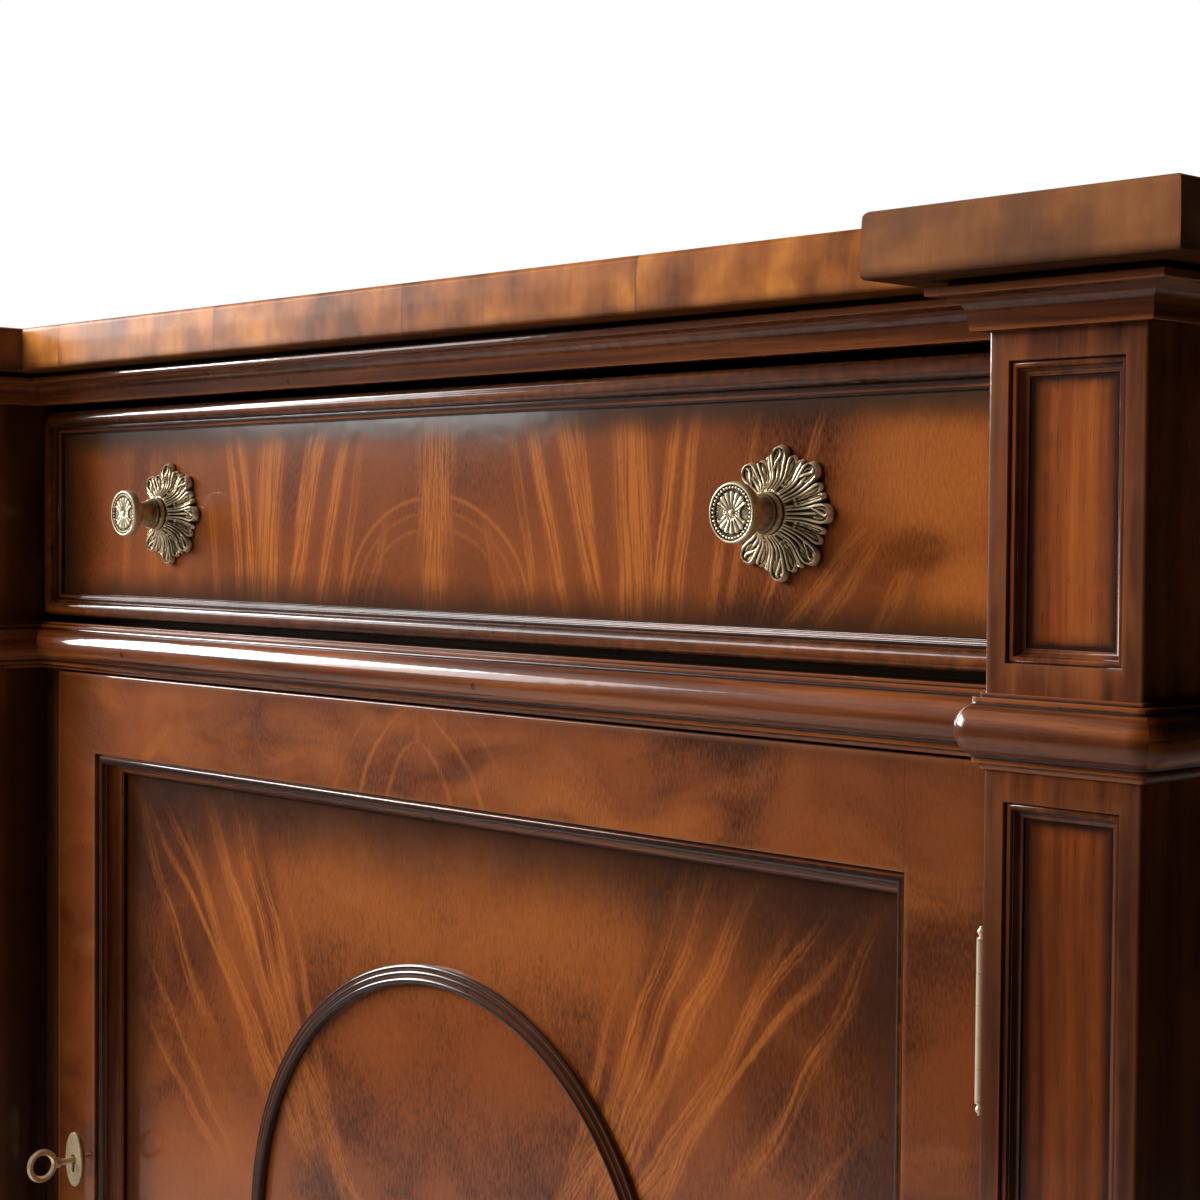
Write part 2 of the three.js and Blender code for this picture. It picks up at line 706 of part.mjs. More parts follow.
function rosette() {
  const rings = [];
  for (let i = 0; i < rosetteSides; i++) {
    const angle = (i / rosetteSides) * Math.PI * 2;
    const rim = rimRadius(angle);
    const foot = rosetteRadius * hubFootShare;
    const flute = rosetteFieldRise * ribShare * Math.cos(lobeCount * 2 * angle);
    const waist = (rosetteHubRadius + foot) * half;
    const sectionPoints = [
      [rosetteBoreRadius, fit],
      [rosetteHubRadius, fit],
      [rim - rosetteSpring, rosetteRimRise - rosetteWall - rosetteWall],
      [rim, rosetteRimRise - rosetteWall],
      [rim - rosetteSpring * half, rosetteRimRise],
      [rim - rosetteSpring, rosetteRimRise + flute],
      [(foot + rim) * half, rosetteFieldRise - flute],
      [foot, rosetteFieldRise + flute],
      [waist, (rosetteFieldRise + rosetteHubRise) * half - rosetteFieldRise * half],
      [rosetteHubRadius, rosetteHubRise],
      [rosetteBoreRadius, rosetteHubRise],
    ];
    rings.push(sectionPoints.map(([r, out]) =>
      new THREE.Vector3(r * Math.sin(angle), -out, r * Math.cos(angle))));
  }
  return loft(rings, null);
}

// Knob: a drum with a dished face on a flared neck, bored for its screw.
function knob() {
  const base = rosetteHubRise + fit;
  const neckFoot = base + knobBaseThickness;
  const headBack = knobReach - knobHeadThickness;
  const neckMiddle = (neckFoot + headBack) * half;
  const boreTop = base + knobBoreDepth;
  return turnedForwards([
    [0, boreTop],
    [knobBoreRadius, boreTop],
    [knobBoreRadius, base],
    [knobBaseRadius - knobNeckFlare, base],
    [knobBaseRadius, base + knobBaseThickness * half],
    [knobBaseRadius - knobNeckFlare, neckFoot],
    [knobNeckRadius, neckFoot + knobNeckFlare],
    [knobNeckRadius - knobNeckFlare * half, neckMiddle],
    [knobNeckRadius + knobNeckFlare, headBack],
    [knobHeadRadius - knobHeadRound, headBack],
    [knobHeadRadius, headBack + knobHeadRound],
    [knobHeadRadius, knobReach - knobHeadRound],
    [knobHeadRadius - knobHeadRound * half, knobReach],
    [knobHeadRadius - knobHeadRound * half - knobRimWidth, knobReach],
    [knobHeadRadius - knobHeadRound - knobRimWidth, knobReach - knobDish],
    [knobHeadRadius * half, knobReach - knobDish * half],
    [0, knobReach],
  ], turnedSides);
}

// The screw comes from inside the drawer, through the front and the rosette, into the knob.
function knobScrew() {
  const inside = -drawerCoreThickness - fit;
  const tip = rosetteHubRise + fit + screwBite;
  return turnedForwards([
    [0, inside - screwHeadThickness],
    [screwHeadRadius - fit, inside - screwHeadThickness],
    [screwHeadRadius, inside - screwHeadThickness * half],
    [screwHeadRadius, inside],
    [screwRadius, inside],
    [screwRadius, tip],
    [0, tip],
  ], smallSides);
}

for (const [side, name] of [[-1, "left"], [1, "right"]]) {
  const place = group(drawer, side * knobHalf, 0, 0);
  piece(place, "rosette_" + name, "brass", rosette());
  piece(place, "knob_" + name, "brass", knob());
  piece(place, "knob_screw_" + name, "steel", knobScrew());
}

// Door. Its group has its origin on the hinge axis, at the middle of the door's height.
const door = group(cabinet, hingeX, hingeY, doorMiddle);
const doorHalfHeight = (doorTop - doorBottom) * half;
const faceY = doorFront - hingeY;
const backY = doorBack - hingeY;
const doorX = -hingeX;
const stileInner = doorHalf - doorStileWidth;
const railInner = doorHalfHeight - doorRailHeight;
const keyX = -(doorHalf + stileInner) * half;

// A keyhole: a round hole with a slot below it, along Y between two places.
function keyhole(from, to, grow = 0) {
  const radius = keyholeRadius + grow;
  const slot = (keySlotWidth + grow) * half;
  return join([
    rod("y", radius, from, to, [0, 0]),
    block([-slot, slot], [from, to], [-keySlotDrop - grow, 0]),
  ]);
}

const stileLeft = block([-doorHalf, -stileInner], [faceY, backY], [-doorHalfHeight, doorHalfHeight]);
const stileHole = keyhole(faceY - overrun, backY + overrun).translate(keyX, 0, 0);
piece(door, "door_stile_left", "flame", carve(stileLeft, [stileHole]), doorX, 0, 0);
board(door, "door_stile_right", "flame", [doorX + stileInner, doorX + doorHalf], [faceY, backY],
  [-doorHalfHeight, doorHalfHeight]);
for (const [side, name] of [[-1, "bottom"], [1, "top"]]) {
  const heights = [side * railInner, side * doorHalfHeight].sort((a, b) => a - b);
  board(door, "door_rail_" + name, "flame", [doorX - stileInner + fit, doorX + stileInner - fit],
    [faceY, backY], heights);
}

const panelY = faceY + doorPanelSink;
board(door, "door_panel", "flame", [doorX - stileInner + fit, doorX + stileInner - fit],
  [panelY, panelY + doorPanelThickness], [-railInner + fit, railInner - fit]);

const doorMouldingSection = section((s) => {
  const beadCentre = doorBeadShoulder + doorBeadRadius;
  const beadBase = doorMouldingTop - doorBeadRadius;
  const beadEnd = beadCentre + doorBeadRadius;
  const coveStart = beadEnd + doorQuirkWidth;
  const coveEnd = doorMouldingWidth - doorToeWidth;
  s.moveTo(fit, fit);
  s.lineTo(doorMouldingWidth, fit);
  s.lineTo(doorMouldingWidth, doorToeRise);
  s.lineTo(coveEnd, doorToeRise);
  s.lineTo(coveEnd, doorCoveFoot);
  s.absellipse(coveEnd, beadBase, coveEnd - coveStart, beadBase - doorCoveFoot, -Math.PI * half, -Math.PI, true);
  s.lineTo(beadEnd, beadBase);
  s.absarc(beadCentre, beadBase, doorBeadRadius, 0, Math.PI, false);
  s.lineTo(fit, beadBase);
});
piece(door, "door_panel_moulding", "solid", frameMoulding(doorMouldingSection, stileInner, railInner),
  doorX, panelY, 0);

// The ring on the panel: three beads that climb towards the middle.
function ringMoulding() {
  const third = ringWidth / 3;
  const inner = ringOuterRadius - ringWidth;
  return turnedForwards([
    [inner, fit],
    [ringOuterRadius, fit],
    [ringOuterRadius, ringBeadRise - ringGrooveDepth],
    [ringOuterRadius - third * half, ringBeadRise],
    [ringOuterRadius - third, ringBeadRise - ringGrooveDepth],
    [ringOuterRadius - third - third * half, ringRise - ringGrooveDepth],
    [inner + third, ringBeadRise - ringGrooveDepth * half],
    [inner + third * half, ringRise],
    [inner, ringBeadRise],
    [inner, fit],
  ], ringSides);
}
piece(door, "door_ring_moulding", "solid", ringMoulding(), doorX, panelY, 0);

// Hinges. The case leaf holds three of the five knuckles and the door leaf two; a pin with a ball
// finial at each end runs through them.
const knuckleCount = 5;
const knucklePitch = hingeBarrelLength / knuckleCount;
const plateFront = faceY + hingeLeafThickness;
const plateBack = plateFront + hingeLeafDepth;

function hingeLeaf(side, ownKnuckles) {
  const across = [side * hingeLeafGap, side * (hingeLeafGap + hingeLeafThickness)].sort((a, b) => a - b);
  const parts = [block(across, [plateFront, plateBack], [-hingeBarrelLength * half, hingeBarrelLength * half])];
  for (const k of ownKnuckles) {
    const low = -hingeBarrelLength * half + knucklePitch * k + (k > 0 ? knuckleGap * half : 0);
    const high = low + knucklePitch - (k > 0 ? knuckleGap : knuckleGap * half);
    parts.push(rod("z", hingeBarrelRadius, low, high, [0, 0], turnedSides * half));
    parts.push(block(across, [0, plateFront + hingeLeafThickness], [low, high]));
  }
  const reach = hingeBarrelLength * half + overrun;
  return carve(join(parts), [rod("z", hingePinRadius + hingePinPlay, -reach, reach, [0, 0])]);
}

function hingePin() {
  const end = hingeBarrelLength * half + fit;
  const finial = [
    [finialRadius, end],
    [finialRadius, end + finialNeckRadius],
    [finialNeckRadius, end + finialNeckRadius + finialNeckRadius],
    [finialRadius, end + finialLength * half],
    [finialTipRadius, end + finialLength - finialTipRadius - finialNeckRadius],
    [finialTipRadius, end + finialLength - finialNeckRadius],
    [0, end + finialLength],
  ];
  const mirrored = finial.map(([radius, rise]) => [radius, -rise]).reverse();
  const shaft = [[hingePinRadius, -end], [hingePinRadius, end]];
  return turnedUpright([...mirrored, ...shaft, ...finial], smallSides);
}

const hingeRise = doorHalfHeight - hingeTopToDoorTop - hingeBarrelLength * half;
for (const [side, name] of [[1, "upper"], [-1, "lower"]]) {
  piece(door, "hinge_" + name + "_door_leaf", "brass", hingeLeaf(-1, [1, 3]), 0, 0, side * hingeRise);
  const fixed = group(carcase, hingeX, hingeY, doorMiddle + side * hingeRise);
  piece(fixed, "hinge_" + name + "_case_leaf", "brass", hingeLeaf(1, [0, 2, 4]));
  piece(fixed, "hinge_" + name + "_pin", "brass", hingePin());
}

// Lock on the back of the free stile. Its group has its origin on the key's axis.
const lock = group(door, doorX + keyX, 0, 0);
const lockFront = backY + fit;
const lockBack = lockFront + lockDepth;
const lockLeft = -doorHalf - keyX;
const chamber = block([lockLeft + lockWall, lockLeft + lockWidth - lockWall], [lockFront + lockWall, lockBack - lockWall],
  [-lockHeight * half + lockWall, lockHeight * half - lockWall]);
const boltMiddle = (lockFront + lockBack) * half;
const boltAcross = [boltMiddle - boltThickness * half, boltMiddle + boltThickness * half];
const boltSlot = block([lockLeft - overrun, lockLeft + lockWall + overrun],
  [boltAcross[0] - boltPlay, boltAcross[1] + boltPlay],
  [boltAboveKey - boltPlay, boltAboveKey + boltHeight + boltPlay]);
const lockBody = block([lockLeft, lockLeft + lockWidth], [lockFront, lockBack],
  [-lockHeight * half, lockHeight * half]);
piece(lock, "lock_case", "steel", carve(lockBody, [
  chamber,
  boltSlot,
  keyhole(lockFront - overrun, lockFront + lockWall + overrun * half),
]));
board(lock, "lock_bolt", "steel", [lockLeft, lockLeft + boltLength], boltAcross,
  [boltAboveKey, boltAboveKey + boltHeight]);

// Keyhole plate: an oval with a bevelled edge.
function keyholePlate() {
  const outline = new THREE.Shape();
  outline.absellipse(0, 0, plateWidth * half, plateHeight * half, 0, Math.PI * 2, false);
  const geometry = new THREE.ExtrudeGeometry(outline, {
    depth: plateThickness - plateBevel,
    bevelEnabled: true,
    bevelThickness: plateBevel,
    bevelSize: plateBevel,
    bevelOffset: -plateBevel,
    bevelSegments: 1,
    curveSegments: turnedSides,
  });
  const flat = carve(geometry, [block([-plateWidth, plateWidth], [-plateHeight, plateHeight], [-overrun, 0])]);
  return carve(flat.rotateX(Math.PI * half), [keyhole(-plateThickness - overrun, overrun)]);
}
piece(lock, "keyhole_plate", "brass", keyholePlate(), 0, faceY - fit, 0);

// Key: a shaft with a bit inside the lock, a collar and an oval bow to hold it by.
function key() {
  const inner = lockBack - lockWall - boltPlay;
  const bitEnd = inner - boltPlay;
  const collar = -keyShaftOut;
  const shaft = turnedForwards([
    [0, -inner],
    [keyShaftRadius, -inner],
    [keyShaftRadius, -faceY - collar],
    [keyCollarRadius, -faceY - collar],
    [keyCollarRadius, -faceY - collar + keyCollarLength],
    [0, -faceY - collar + keyCollarLength],
  ], smallSides);
  const bit = block([-keyBitThickness * half, keyBitThickness * half], [bitEnd - keyBitLength, bitEnd],
    [-keyBitDrop, 0]);
  const bowSection = new THREE.TorusGeometry(keyBowRadius, keyBowWire, smallSides * half, turnedSides);
  const bow = bowSection.rotateY(Math.PI * half);
  bow.translate(0, faceY + collar - keyCollarLength - keyBowRadius, 0);
  return join([shaft, bit, bow]);
}
piece(lock, "key", "brass", key());

// The stop for the door's free end, a block under the dust board.
board(carcase, "door_stop", "solid", [-stileInner + fit, -stileInner + fit + stopWidth],
  [doorBack + fit, doorBack + fit + stopDepth],
  [dustBoardTop - dustBoardThickness - fit - stopHeight, dustBoardTop - dustBoardThickness - fit]);

export default cabinet;
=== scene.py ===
import math

import bmesh
import bpy
from mathutils import Matrix, Vector, noise


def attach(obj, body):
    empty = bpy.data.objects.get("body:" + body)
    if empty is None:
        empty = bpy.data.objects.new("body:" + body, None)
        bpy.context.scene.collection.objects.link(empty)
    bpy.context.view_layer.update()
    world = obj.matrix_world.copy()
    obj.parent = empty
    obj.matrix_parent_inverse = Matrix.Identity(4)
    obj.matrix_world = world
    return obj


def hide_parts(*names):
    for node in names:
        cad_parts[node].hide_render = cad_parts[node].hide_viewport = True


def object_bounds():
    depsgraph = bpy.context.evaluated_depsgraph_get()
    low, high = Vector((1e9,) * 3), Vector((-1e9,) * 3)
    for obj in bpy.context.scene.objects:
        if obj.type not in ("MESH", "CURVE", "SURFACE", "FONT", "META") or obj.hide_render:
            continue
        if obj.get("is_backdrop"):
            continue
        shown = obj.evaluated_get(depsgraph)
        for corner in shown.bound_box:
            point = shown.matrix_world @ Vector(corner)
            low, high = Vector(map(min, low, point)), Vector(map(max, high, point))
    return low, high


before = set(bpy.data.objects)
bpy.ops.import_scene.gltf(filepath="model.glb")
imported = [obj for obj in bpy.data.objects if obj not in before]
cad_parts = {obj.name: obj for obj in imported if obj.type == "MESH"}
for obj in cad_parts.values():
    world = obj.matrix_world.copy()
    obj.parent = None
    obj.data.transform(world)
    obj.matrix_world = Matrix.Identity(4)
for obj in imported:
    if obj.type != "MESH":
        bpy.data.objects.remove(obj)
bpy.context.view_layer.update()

# ---------------------------------------------------------------- camera and studio
# A close view along the front from the right, just below the top. The studio has a pale floor, a
# soft window on the left, two panes beside it that show only in reflections, a weaker light in
# front, and darkness on the right.
yaw, pitch, roll = math.radians(46.814), math.radians(1.717), math.radians(0.467)
ahead = Vector((-math.sin(yaw) * math.cos(pitch), math.cos(yaw) * math.cos(pitch), -math.sin(pitch)))
level = Vector((math.cos(yaw), math.sin(yaw), 0))
over = level.cross(ahead)
across = level * math.cos(roll) + over * math.sin(roll)
above = over * math.cos(roll) - level * math.sin(roll)
stand = Matrix((across, above, -ahead)).transposed().to_4x4()
stand.translation = (0.9088, -0.88444, 0.79244)
bpy.context.scene.view_settings.view_transform = "Standard"
camera = bpy.data.objects.new("camera", bpy.data.cameras.new("camera"))
camera.data.sensor_fit = "HORIZONTAL"
camera.data.sensor_width = 36
camera.data.lens = 68.14
camera.data.clip_start = 0.02
camera.data.clip_end = 60
camera.matrix_world = stand
bpy.context.scene.collection.objects.link(camera)
bpy.context.scene.camera = camera


def put(tree, kind, inputs=None, **settings):
    """One node, its settings, and its inputs: a socket is linked, anything else is a value."""
    made = tree.nodes.new(kind)
    for key, value in settings.items():
        setattr(made, key, value)
    for key, value in (inputs or {}).items():
        if isinstance(value, bpy.types.NodeSocket):
            tree.links.new(value, made.inputs[key])
        else:
            made.inputs[key].default_value = value
    return made


def sum_of(tree, operation, *inputs, clamp=False):
    return put(tree, "ShaderNodeMath", dict(enumerate(inputs)), operation=operation,
               use_clamp=clamp).outputs[0]


def times(tree, a, b, clamp=False):
    return sum_of(tree, "MULTIPLY", a, b, clamp=clamp)


def scaled(tree, a, b, c):
    """a times b, plus c."""
    return sum_of(tree, "MULTIPLY_ADD", a, b, c)


def most(tree, first, *others):
    for other in others:
        first = sum_of(tree, "MAXIMUM", first, other)
    return first


def span(tree, value, start, end, high=1.0, low=0.0, soft=False):
    """Runs from low to high as the value goes from start to end."""
    node = put(tree, "ShaderNodeMapRange", {0: value, 1: start, 2: end, 3: low, 4: high})
    if soft:
        node.interpolation_type = "SMOOTHSTEP"
    return node.outputs[0]


def soft_light(name, place, target, width, height, watts, colour=(1, 1, 1)):
    lamp = bpy.data.lights.new(name, "AREA")
    lamp.shape = "RECTANGLE"
    lamp.size, lamp.size_y = width, height
    lamp.energy = watts
    lamp.color = colour
    made = bpy.data.objects.new(name, lamp)
    made.location = place
    made.rotation_euler = (Vector(target) - Vector(place)).to_track_quat("-Z", "Y").to_euler()
    bpy.context.scene.collection.objects.link(made)
    return made


window = soft_light("window_left", (-2.75, -1.6, 2.3), (0, -0.2, 0.75), 1.5, 1.8, 108)
window.visible_glossy = False
for name, place, width, height, watts in (("bright_pane", (-2.6, -0.7, 1.65), 2.1, 1.2, 230),
                                          ("dimmer_pane", (-2.5, -2.05, 1.7), 0.6, 1.4, 22)):
    pane = soft_light(name, place, (0, -0.2, place[2]), width, height, watts)
    pane.visible_diffuse = False
fill = soft_light("front_fill", (-1.3, -2.8, 2.1), (0.0, -0.15, 0.75), 1.8, 1.4, 60, (1, 0.97, 0.93))
fill.visible_glossy = False

world = bpy.data.worlds.new("studio")
world.use_nodes = True
bpy.context.scene.world = world
sky = world.node_tree
sky.nodes.clear()
heading = put(sky, "ShaderNodeTexCoord").outputs["Generated"]


def toward(direction, start, end, low, high):
    """Strength of the room by how near a direction lies to the one given."""
    side = put(sky, "ShaderNodeVectorMath", {0: heading, 1: direction},
               operation="DOT_PRODUCT").outputs["Value"]
    return span(sky, side, start, end, high, low, soft=True)


room = scaled(sky, toward((-0.85, -0.1, 0.5), 0.15, 1.0, 0.0, 0.8),
              toward((0, 0, 1), 0.05, 0.6, 0.1, 1.0), 0.012)
room = times(sky, room, toward((1, 0, 0), 0.0, 0.7, 1.0, 0.3))
ray = put(sky, "ShaderNodeLightPath").outputs
behind = times(sky, ray["Is Glossy Ray"], toward((-0.82, 0.57, 0.05), 0.8, 0.93, 0.0, 1.0))
seen = most(sky, ray["Is Camera Ray"], ray["Is Transmission Ray"], behind)
room = times(sky, room, scaled(sky, ray["Is Glossy Ray"], -0.5, 1.0))
lit = put(sky, "ShaderNodeBackground", {"Color": (1, 1, 1, 1), "Strength": room})
plain = put(sky, "ShaderNodeBackground", {"Color": (1, 1, 1, 1), "Strength": 1.0})
shown = put(sky, "ShaderNodeMixShader", {0: seen, 1: lit.outputs[0], 2: plain.outputs[0]})
put(sky, "ShaderNodeOutputWorld", {0: shown.outputs[0]})


def mesh_piece(name, points, faces):
    """A piece from points in metres and faces that point outwards."""
    mesh = bpy.data.meshes.new(name)
    mesh.from_pydata([tuple(p) for p in points], [], faces)
    mesh.update()
    made = bpy.data.objects.new(name, mesh)
    bpy.context.scene.collection.objects.link(made)
    return made


floor = mesh_piece("floor", [(-3, -3, 0), (3, -3, 0), (3, 3, 0), (-3, 3, 0)], [(0, 1, 2, 3)])
pale = bpy.data.materials.new("pale_floor")
pale.use_nodes = True
ground = pale.node_tree
ground.nodes.clear()
away = put(ground, "ShaderNodeVectorMath", {0: put(ground, "ShaderNodeTexCoord").outputs["Object"]},
           operation="LENGTH")
gone = span(ground, away.outputs["Value"], 0.9, 2.4, soft=True)
matt = put(ground, "ShaderNodeBsdfDiffuse", {"Color": (0.62, 0.62, 0.62, 1)})
clear = put(ground, "ShaderNodeBsdfTransparent")
edge = put(ground, "ShaderNodeMixShader", {0: gone, 1: matt.outputs[0], 2: clear.outputs[0]})
put(ground, "ShaderNodeOutputMaterial", {0: edge.outputs[0]})
floor.data.materials.append(pale)
floor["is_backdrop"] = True

# ---------------------------------------------------------------- cornice
# Solid mahogany cove moulding under the top, run in lengths and mitred round the breaks of the
# front. Its hollows hold dark glaze with painted shade, and its arrises are rubbed lighter with a
# painted highlight. Glued and pinned on.
MM = 0.001
# Points that lie closer together than this, in metres, are one point.
WELD = 1e-6


def drawn(moves, steps=9, ease=0.45, longest=2.0):
    """A section in mm from straight moves (e, z) and arcs (centre e, z, radii, start, end in degrees),
    with eased arrises. Returns its points and how proud each lies, from 0 in a quirk to 1 on a crest."""
    raw = []
    for move in moves:
        if len(move) == 2:
            raw.append(Vector(move))
            continue
        ce, cz, re, rz, start, end = move
        for i in range(steps + 1):
            a = math.radians(start + (end - start) * i / steps)
            raw.append(Vector((ce + re * math.cos(a), cz + rz * math.sin(a))))
    raw = [p for i, p in enumerate(raw) if i == 0 or (p - raw[i - 1]).length > 0.02]
    points = [raw[0]]
    for before, here, after in zip(raw, raw[1:], raw[2:]):
        into, out = here - before, after - here
        if abs(into.angle_signed(out)) < math.radians(24):
            points.append(here)
            continue
        reach = min(ease, into.length / 2.2, out.length / 2.2)
        first, last = here - into.normalized() * reach, here + out.normalized() * reach
        for t in (0, 0.3, 0.7, 1):
            points.append(first.lerp(here, t).lerp(here.lerp(last, t), t))
    points.append(raw[-1])
    fine = [points[0]]
    for here in points[1:]:
        gap = here - fine[-1]
        pieces = max(1, math.ceil(gap.length / longest))
        start = fine[-1].copy()
        fine.extend(start + gap * (i / pieces) for i in range(1, pieces + 1))
    along = [0.0]
    for a, b in zip(fine, fine[1:]):
        along.append(along[-1] + (b - a).length)
    turn = [0.0] * len(fine)
    for i in range(1, len(fine) - 1):
        turn[i] = -(fine[i] - fine[i - 1]).angle_signed(fine[i + 1] - fine[i])
    proud = []
    for s in along:
        bend = sum(t * math.exp(-(((s - q) / 1.3) ** 2)) for t, q in zip(turn, along))
        proud.append(max(0.0, min(1.0, 0.5 + 0.42 * bend)))
    return fine, proud, along


def minus(tree, a, b):
    return sum_of(tree, "SUBTRACT", a, b)


def vector(tree, operation, *inputs):
    return put(tree, "ShaderNodeVectorMath", dict(enumerate(inputs)), operation=operation).outputs[0]


def node_tree(name, family, inputs, outputs):
    """An empty tree with named inputs and outputs, each with its kind of socket."""
    tree = bpy.data.node_groups.new(name, family + "NodeTree")
    for way, sockets in (("OUTPUT", outputs), ("INPUT", inputs)):
        for label, kind in sockets.items():
            tree.interface.new_socket(label, in_out=way, socket_type="NodeSocket" + kind)
    return tree, put(tree, "NodeGroupInput").outputs


def then(tree, kind, geometry, inputs=None, **settings):
    """The next step in making a piece of geometry."""
    return put(tree, "GeometryNode" + kind, {"Geometry": geometry, **(inputs or {})}, **settings).outputs[0]


def taken(tree, geometry, name, kind, at):
    """A value read off one point of another piece."""
    if name == "position":
        value = put(tree, "GeometryNodeInputPosition").outputs[0]
    else:
        value = put(tree, "GeometryNodeInputNamedAttribute", {"Name": name}, data_type=kind).outputs[0]
    return then(tree, "SampleIndex", geometry, {"Value": value, "Index": at}, data_type=kind,
                domain="POINT")


def rows_of(tree, rows, across):
    """A grid, and for each of its points the row and the place in the row."""
    grid = put(tree, "GeometryNodeMeshGrid", {"Vertices X": rows, "Vertices Y": across}).outputs["Mesh"]
    index = put(tree, "GeometryNodeInputIndex").outputs[0]
    row = sum_of(tree, "FLOOR", sum_of(tree, "DIVIDE", index, across))
    return grid, row, minus(tree, index, times(tree, row, across))


def surfaced(tree, grid, place, length, girth, crest, finish):
    """Moves a grid's points into place and stores the lie of the grain and how proud each point is."""
    moved = then(tree, "SetPosition", grid, {"Position": place})
    lay = put(tree, "ShaderNodeCombineXYZ", {"X": length, "Y": girth}).outputs[0]
    lay = put(tree, "GeometryNodeFieldOnDomain", {0: lay}, data_type="FLOAT_VECTOR", domain="POINT")
    mapped = then(tree, "StoreNamedAttribute", moved, {"Name": "UVMap", "Value": lay.outputs[0]},
                  data_type="FLOAT2", domain="CORNER")
    kept = then(tree, "StoreNamedAttribute", mapped, {"Name": "crest", "Value": crest},
                data_type="FLOAT", domain="POINT")
    welded = then(tree, "MergeByDistance", kept, {"Distance": WELD})
    finished(tree, then(tree, "RealizeInstances", welded), finish)


def finished(tree, geometry, finish):
    made = then(tree, "SetMaterial", geometry, {"Material": finish})
    put(tree, "NodeGroupOutput", {"Geometry": made})


def run_tree():
    """Carries a section along a route: one grid, laid corner by corner with each corner's mitre."""
    tree, given = node_tree("moulding run", "Geometry", {
        "Route": "Geometry", "Section": "Object", "Corners": "Int", "Section Points": "Int",
        "Rise": "Vector", "Finish": "Material"}, {"Geometry": "Geometry"})
    section = put(tree, "GeometryNodeObjectInfo", {"Object": given["Section"]}).outputs["Geometry"]
    grid, corner, place = rows_of(tree, given["Corners"], given["Section Points"])
    route = given["Route"]
    shape = put(tree, "ShaderNodeSeparateXYZ",
                {0: taken(tree, section, "position", "FLOAT_VECTOR", place)}).outputs
    out = put(tree, "ShaderNodeVectorMath", {0: taken(tree, route, "mitre", "FLOAT_VECTOR", corner),
                                             "Scale": shape["X"]}, operation="SCALE").outputs[0]
    rise = put(tree, "ShaderNodeVectorMath", {0: given["Rise"], "Scale": shape["Y"]},
               operation="SCALE").outputs[0]
    whole = vector(tree, "ADD", taken(tree, route, "position", "FLOAT_VECTOR", corner),
                   vector(tree, "ADD", out, rise))
    surfaced(tree, grid, whole, taken(tree, route, "length", "FLOAT", corner),
             taken(tree, section, "length", "FLOAT", place),
             taken(tree, section, "crest", "FLOAT", place), given["Finish"])
    return tree


moulding_run = run_tree()


def with_floats(mesh, name, kind, values):
    """Stores a number or a vector for each point of a mesh."""
    field = mesh.attributes.new(name, kind, "POINT")
    flat = [x for v in values for x in v] if kind == "FLOAT_VECTOR" else list(values)
    field.data.foreach_set("vector" if kind == "FLOAT_VECTOR" else "value", flat)


def settle(made, tree, values):
    """Runs a tree on an object, and leaves its result as the object's own plain mesh."""
    change = made.modifiers.new("made", "NODES")
    change.node_group = tree
    for item in tree.interface.items_tree:
        if item.in_out == "INPUT" and item.name in values:
            change[item.identifier] = values[item.name]
    bpy.context.view_layer.update()
    graph = bpy.context.evaluated_depsgraph_get()
    result = bpy.data.meshes.new_from_object(made.evaluated_get(graph), depsgraph=graph)
    made.modifiers.clear()
    while len(result.materials) > 1 and result.materials[0] is None:
        result.materials.pop(index=0)
    old, made.data = made.data, result
    result.name = made.name
    bpy.data.meshes.remove(old)
    return made


def tidy_up(made, crease=32):
    """Closes open ends, turns every face outwards and keeps arrises sharp."""
    bm = bmesh.new()
    bm.from_mesh(made.data)
    bmesh.ops.remove_doubles(bm, verts=bm.verts, dist=WELD)
    bmesh.ops.holes_fill(bm, edges=[e for e in bm.edges if e.is_boundary], sides=0)
    bmesh.ops.recalc_face_normals(bm, faces=bm.faces)
    if bm.calc_volume(signed=True) < 0:
        bmesh.ops.reverse_faces(bm, faces=bm.faces)
    bm.to_mesh(made.data)
    bm.free()
    made.data.shade_smooth()
    made.data.set_sharp_from_angle(angle=math.radians(crease))
    return made


def section_piece(name, section):
    """The drawn section as loose points that carry their crests and their way round it."""
    points, proud, girth = section
    made = mesh_piece(name, [(p.x * MM, p.y * MM, 0) for p in points], [])
    with_floats(made.data, "crest", "FLOAT", proud)
    with_floats(made.data, "length", "FLOAT", [g * MM for g in girth])
    return made


# Outer corners of a rounded run turn 90 degrees in this many steps.
CORNER_STEPS = 12


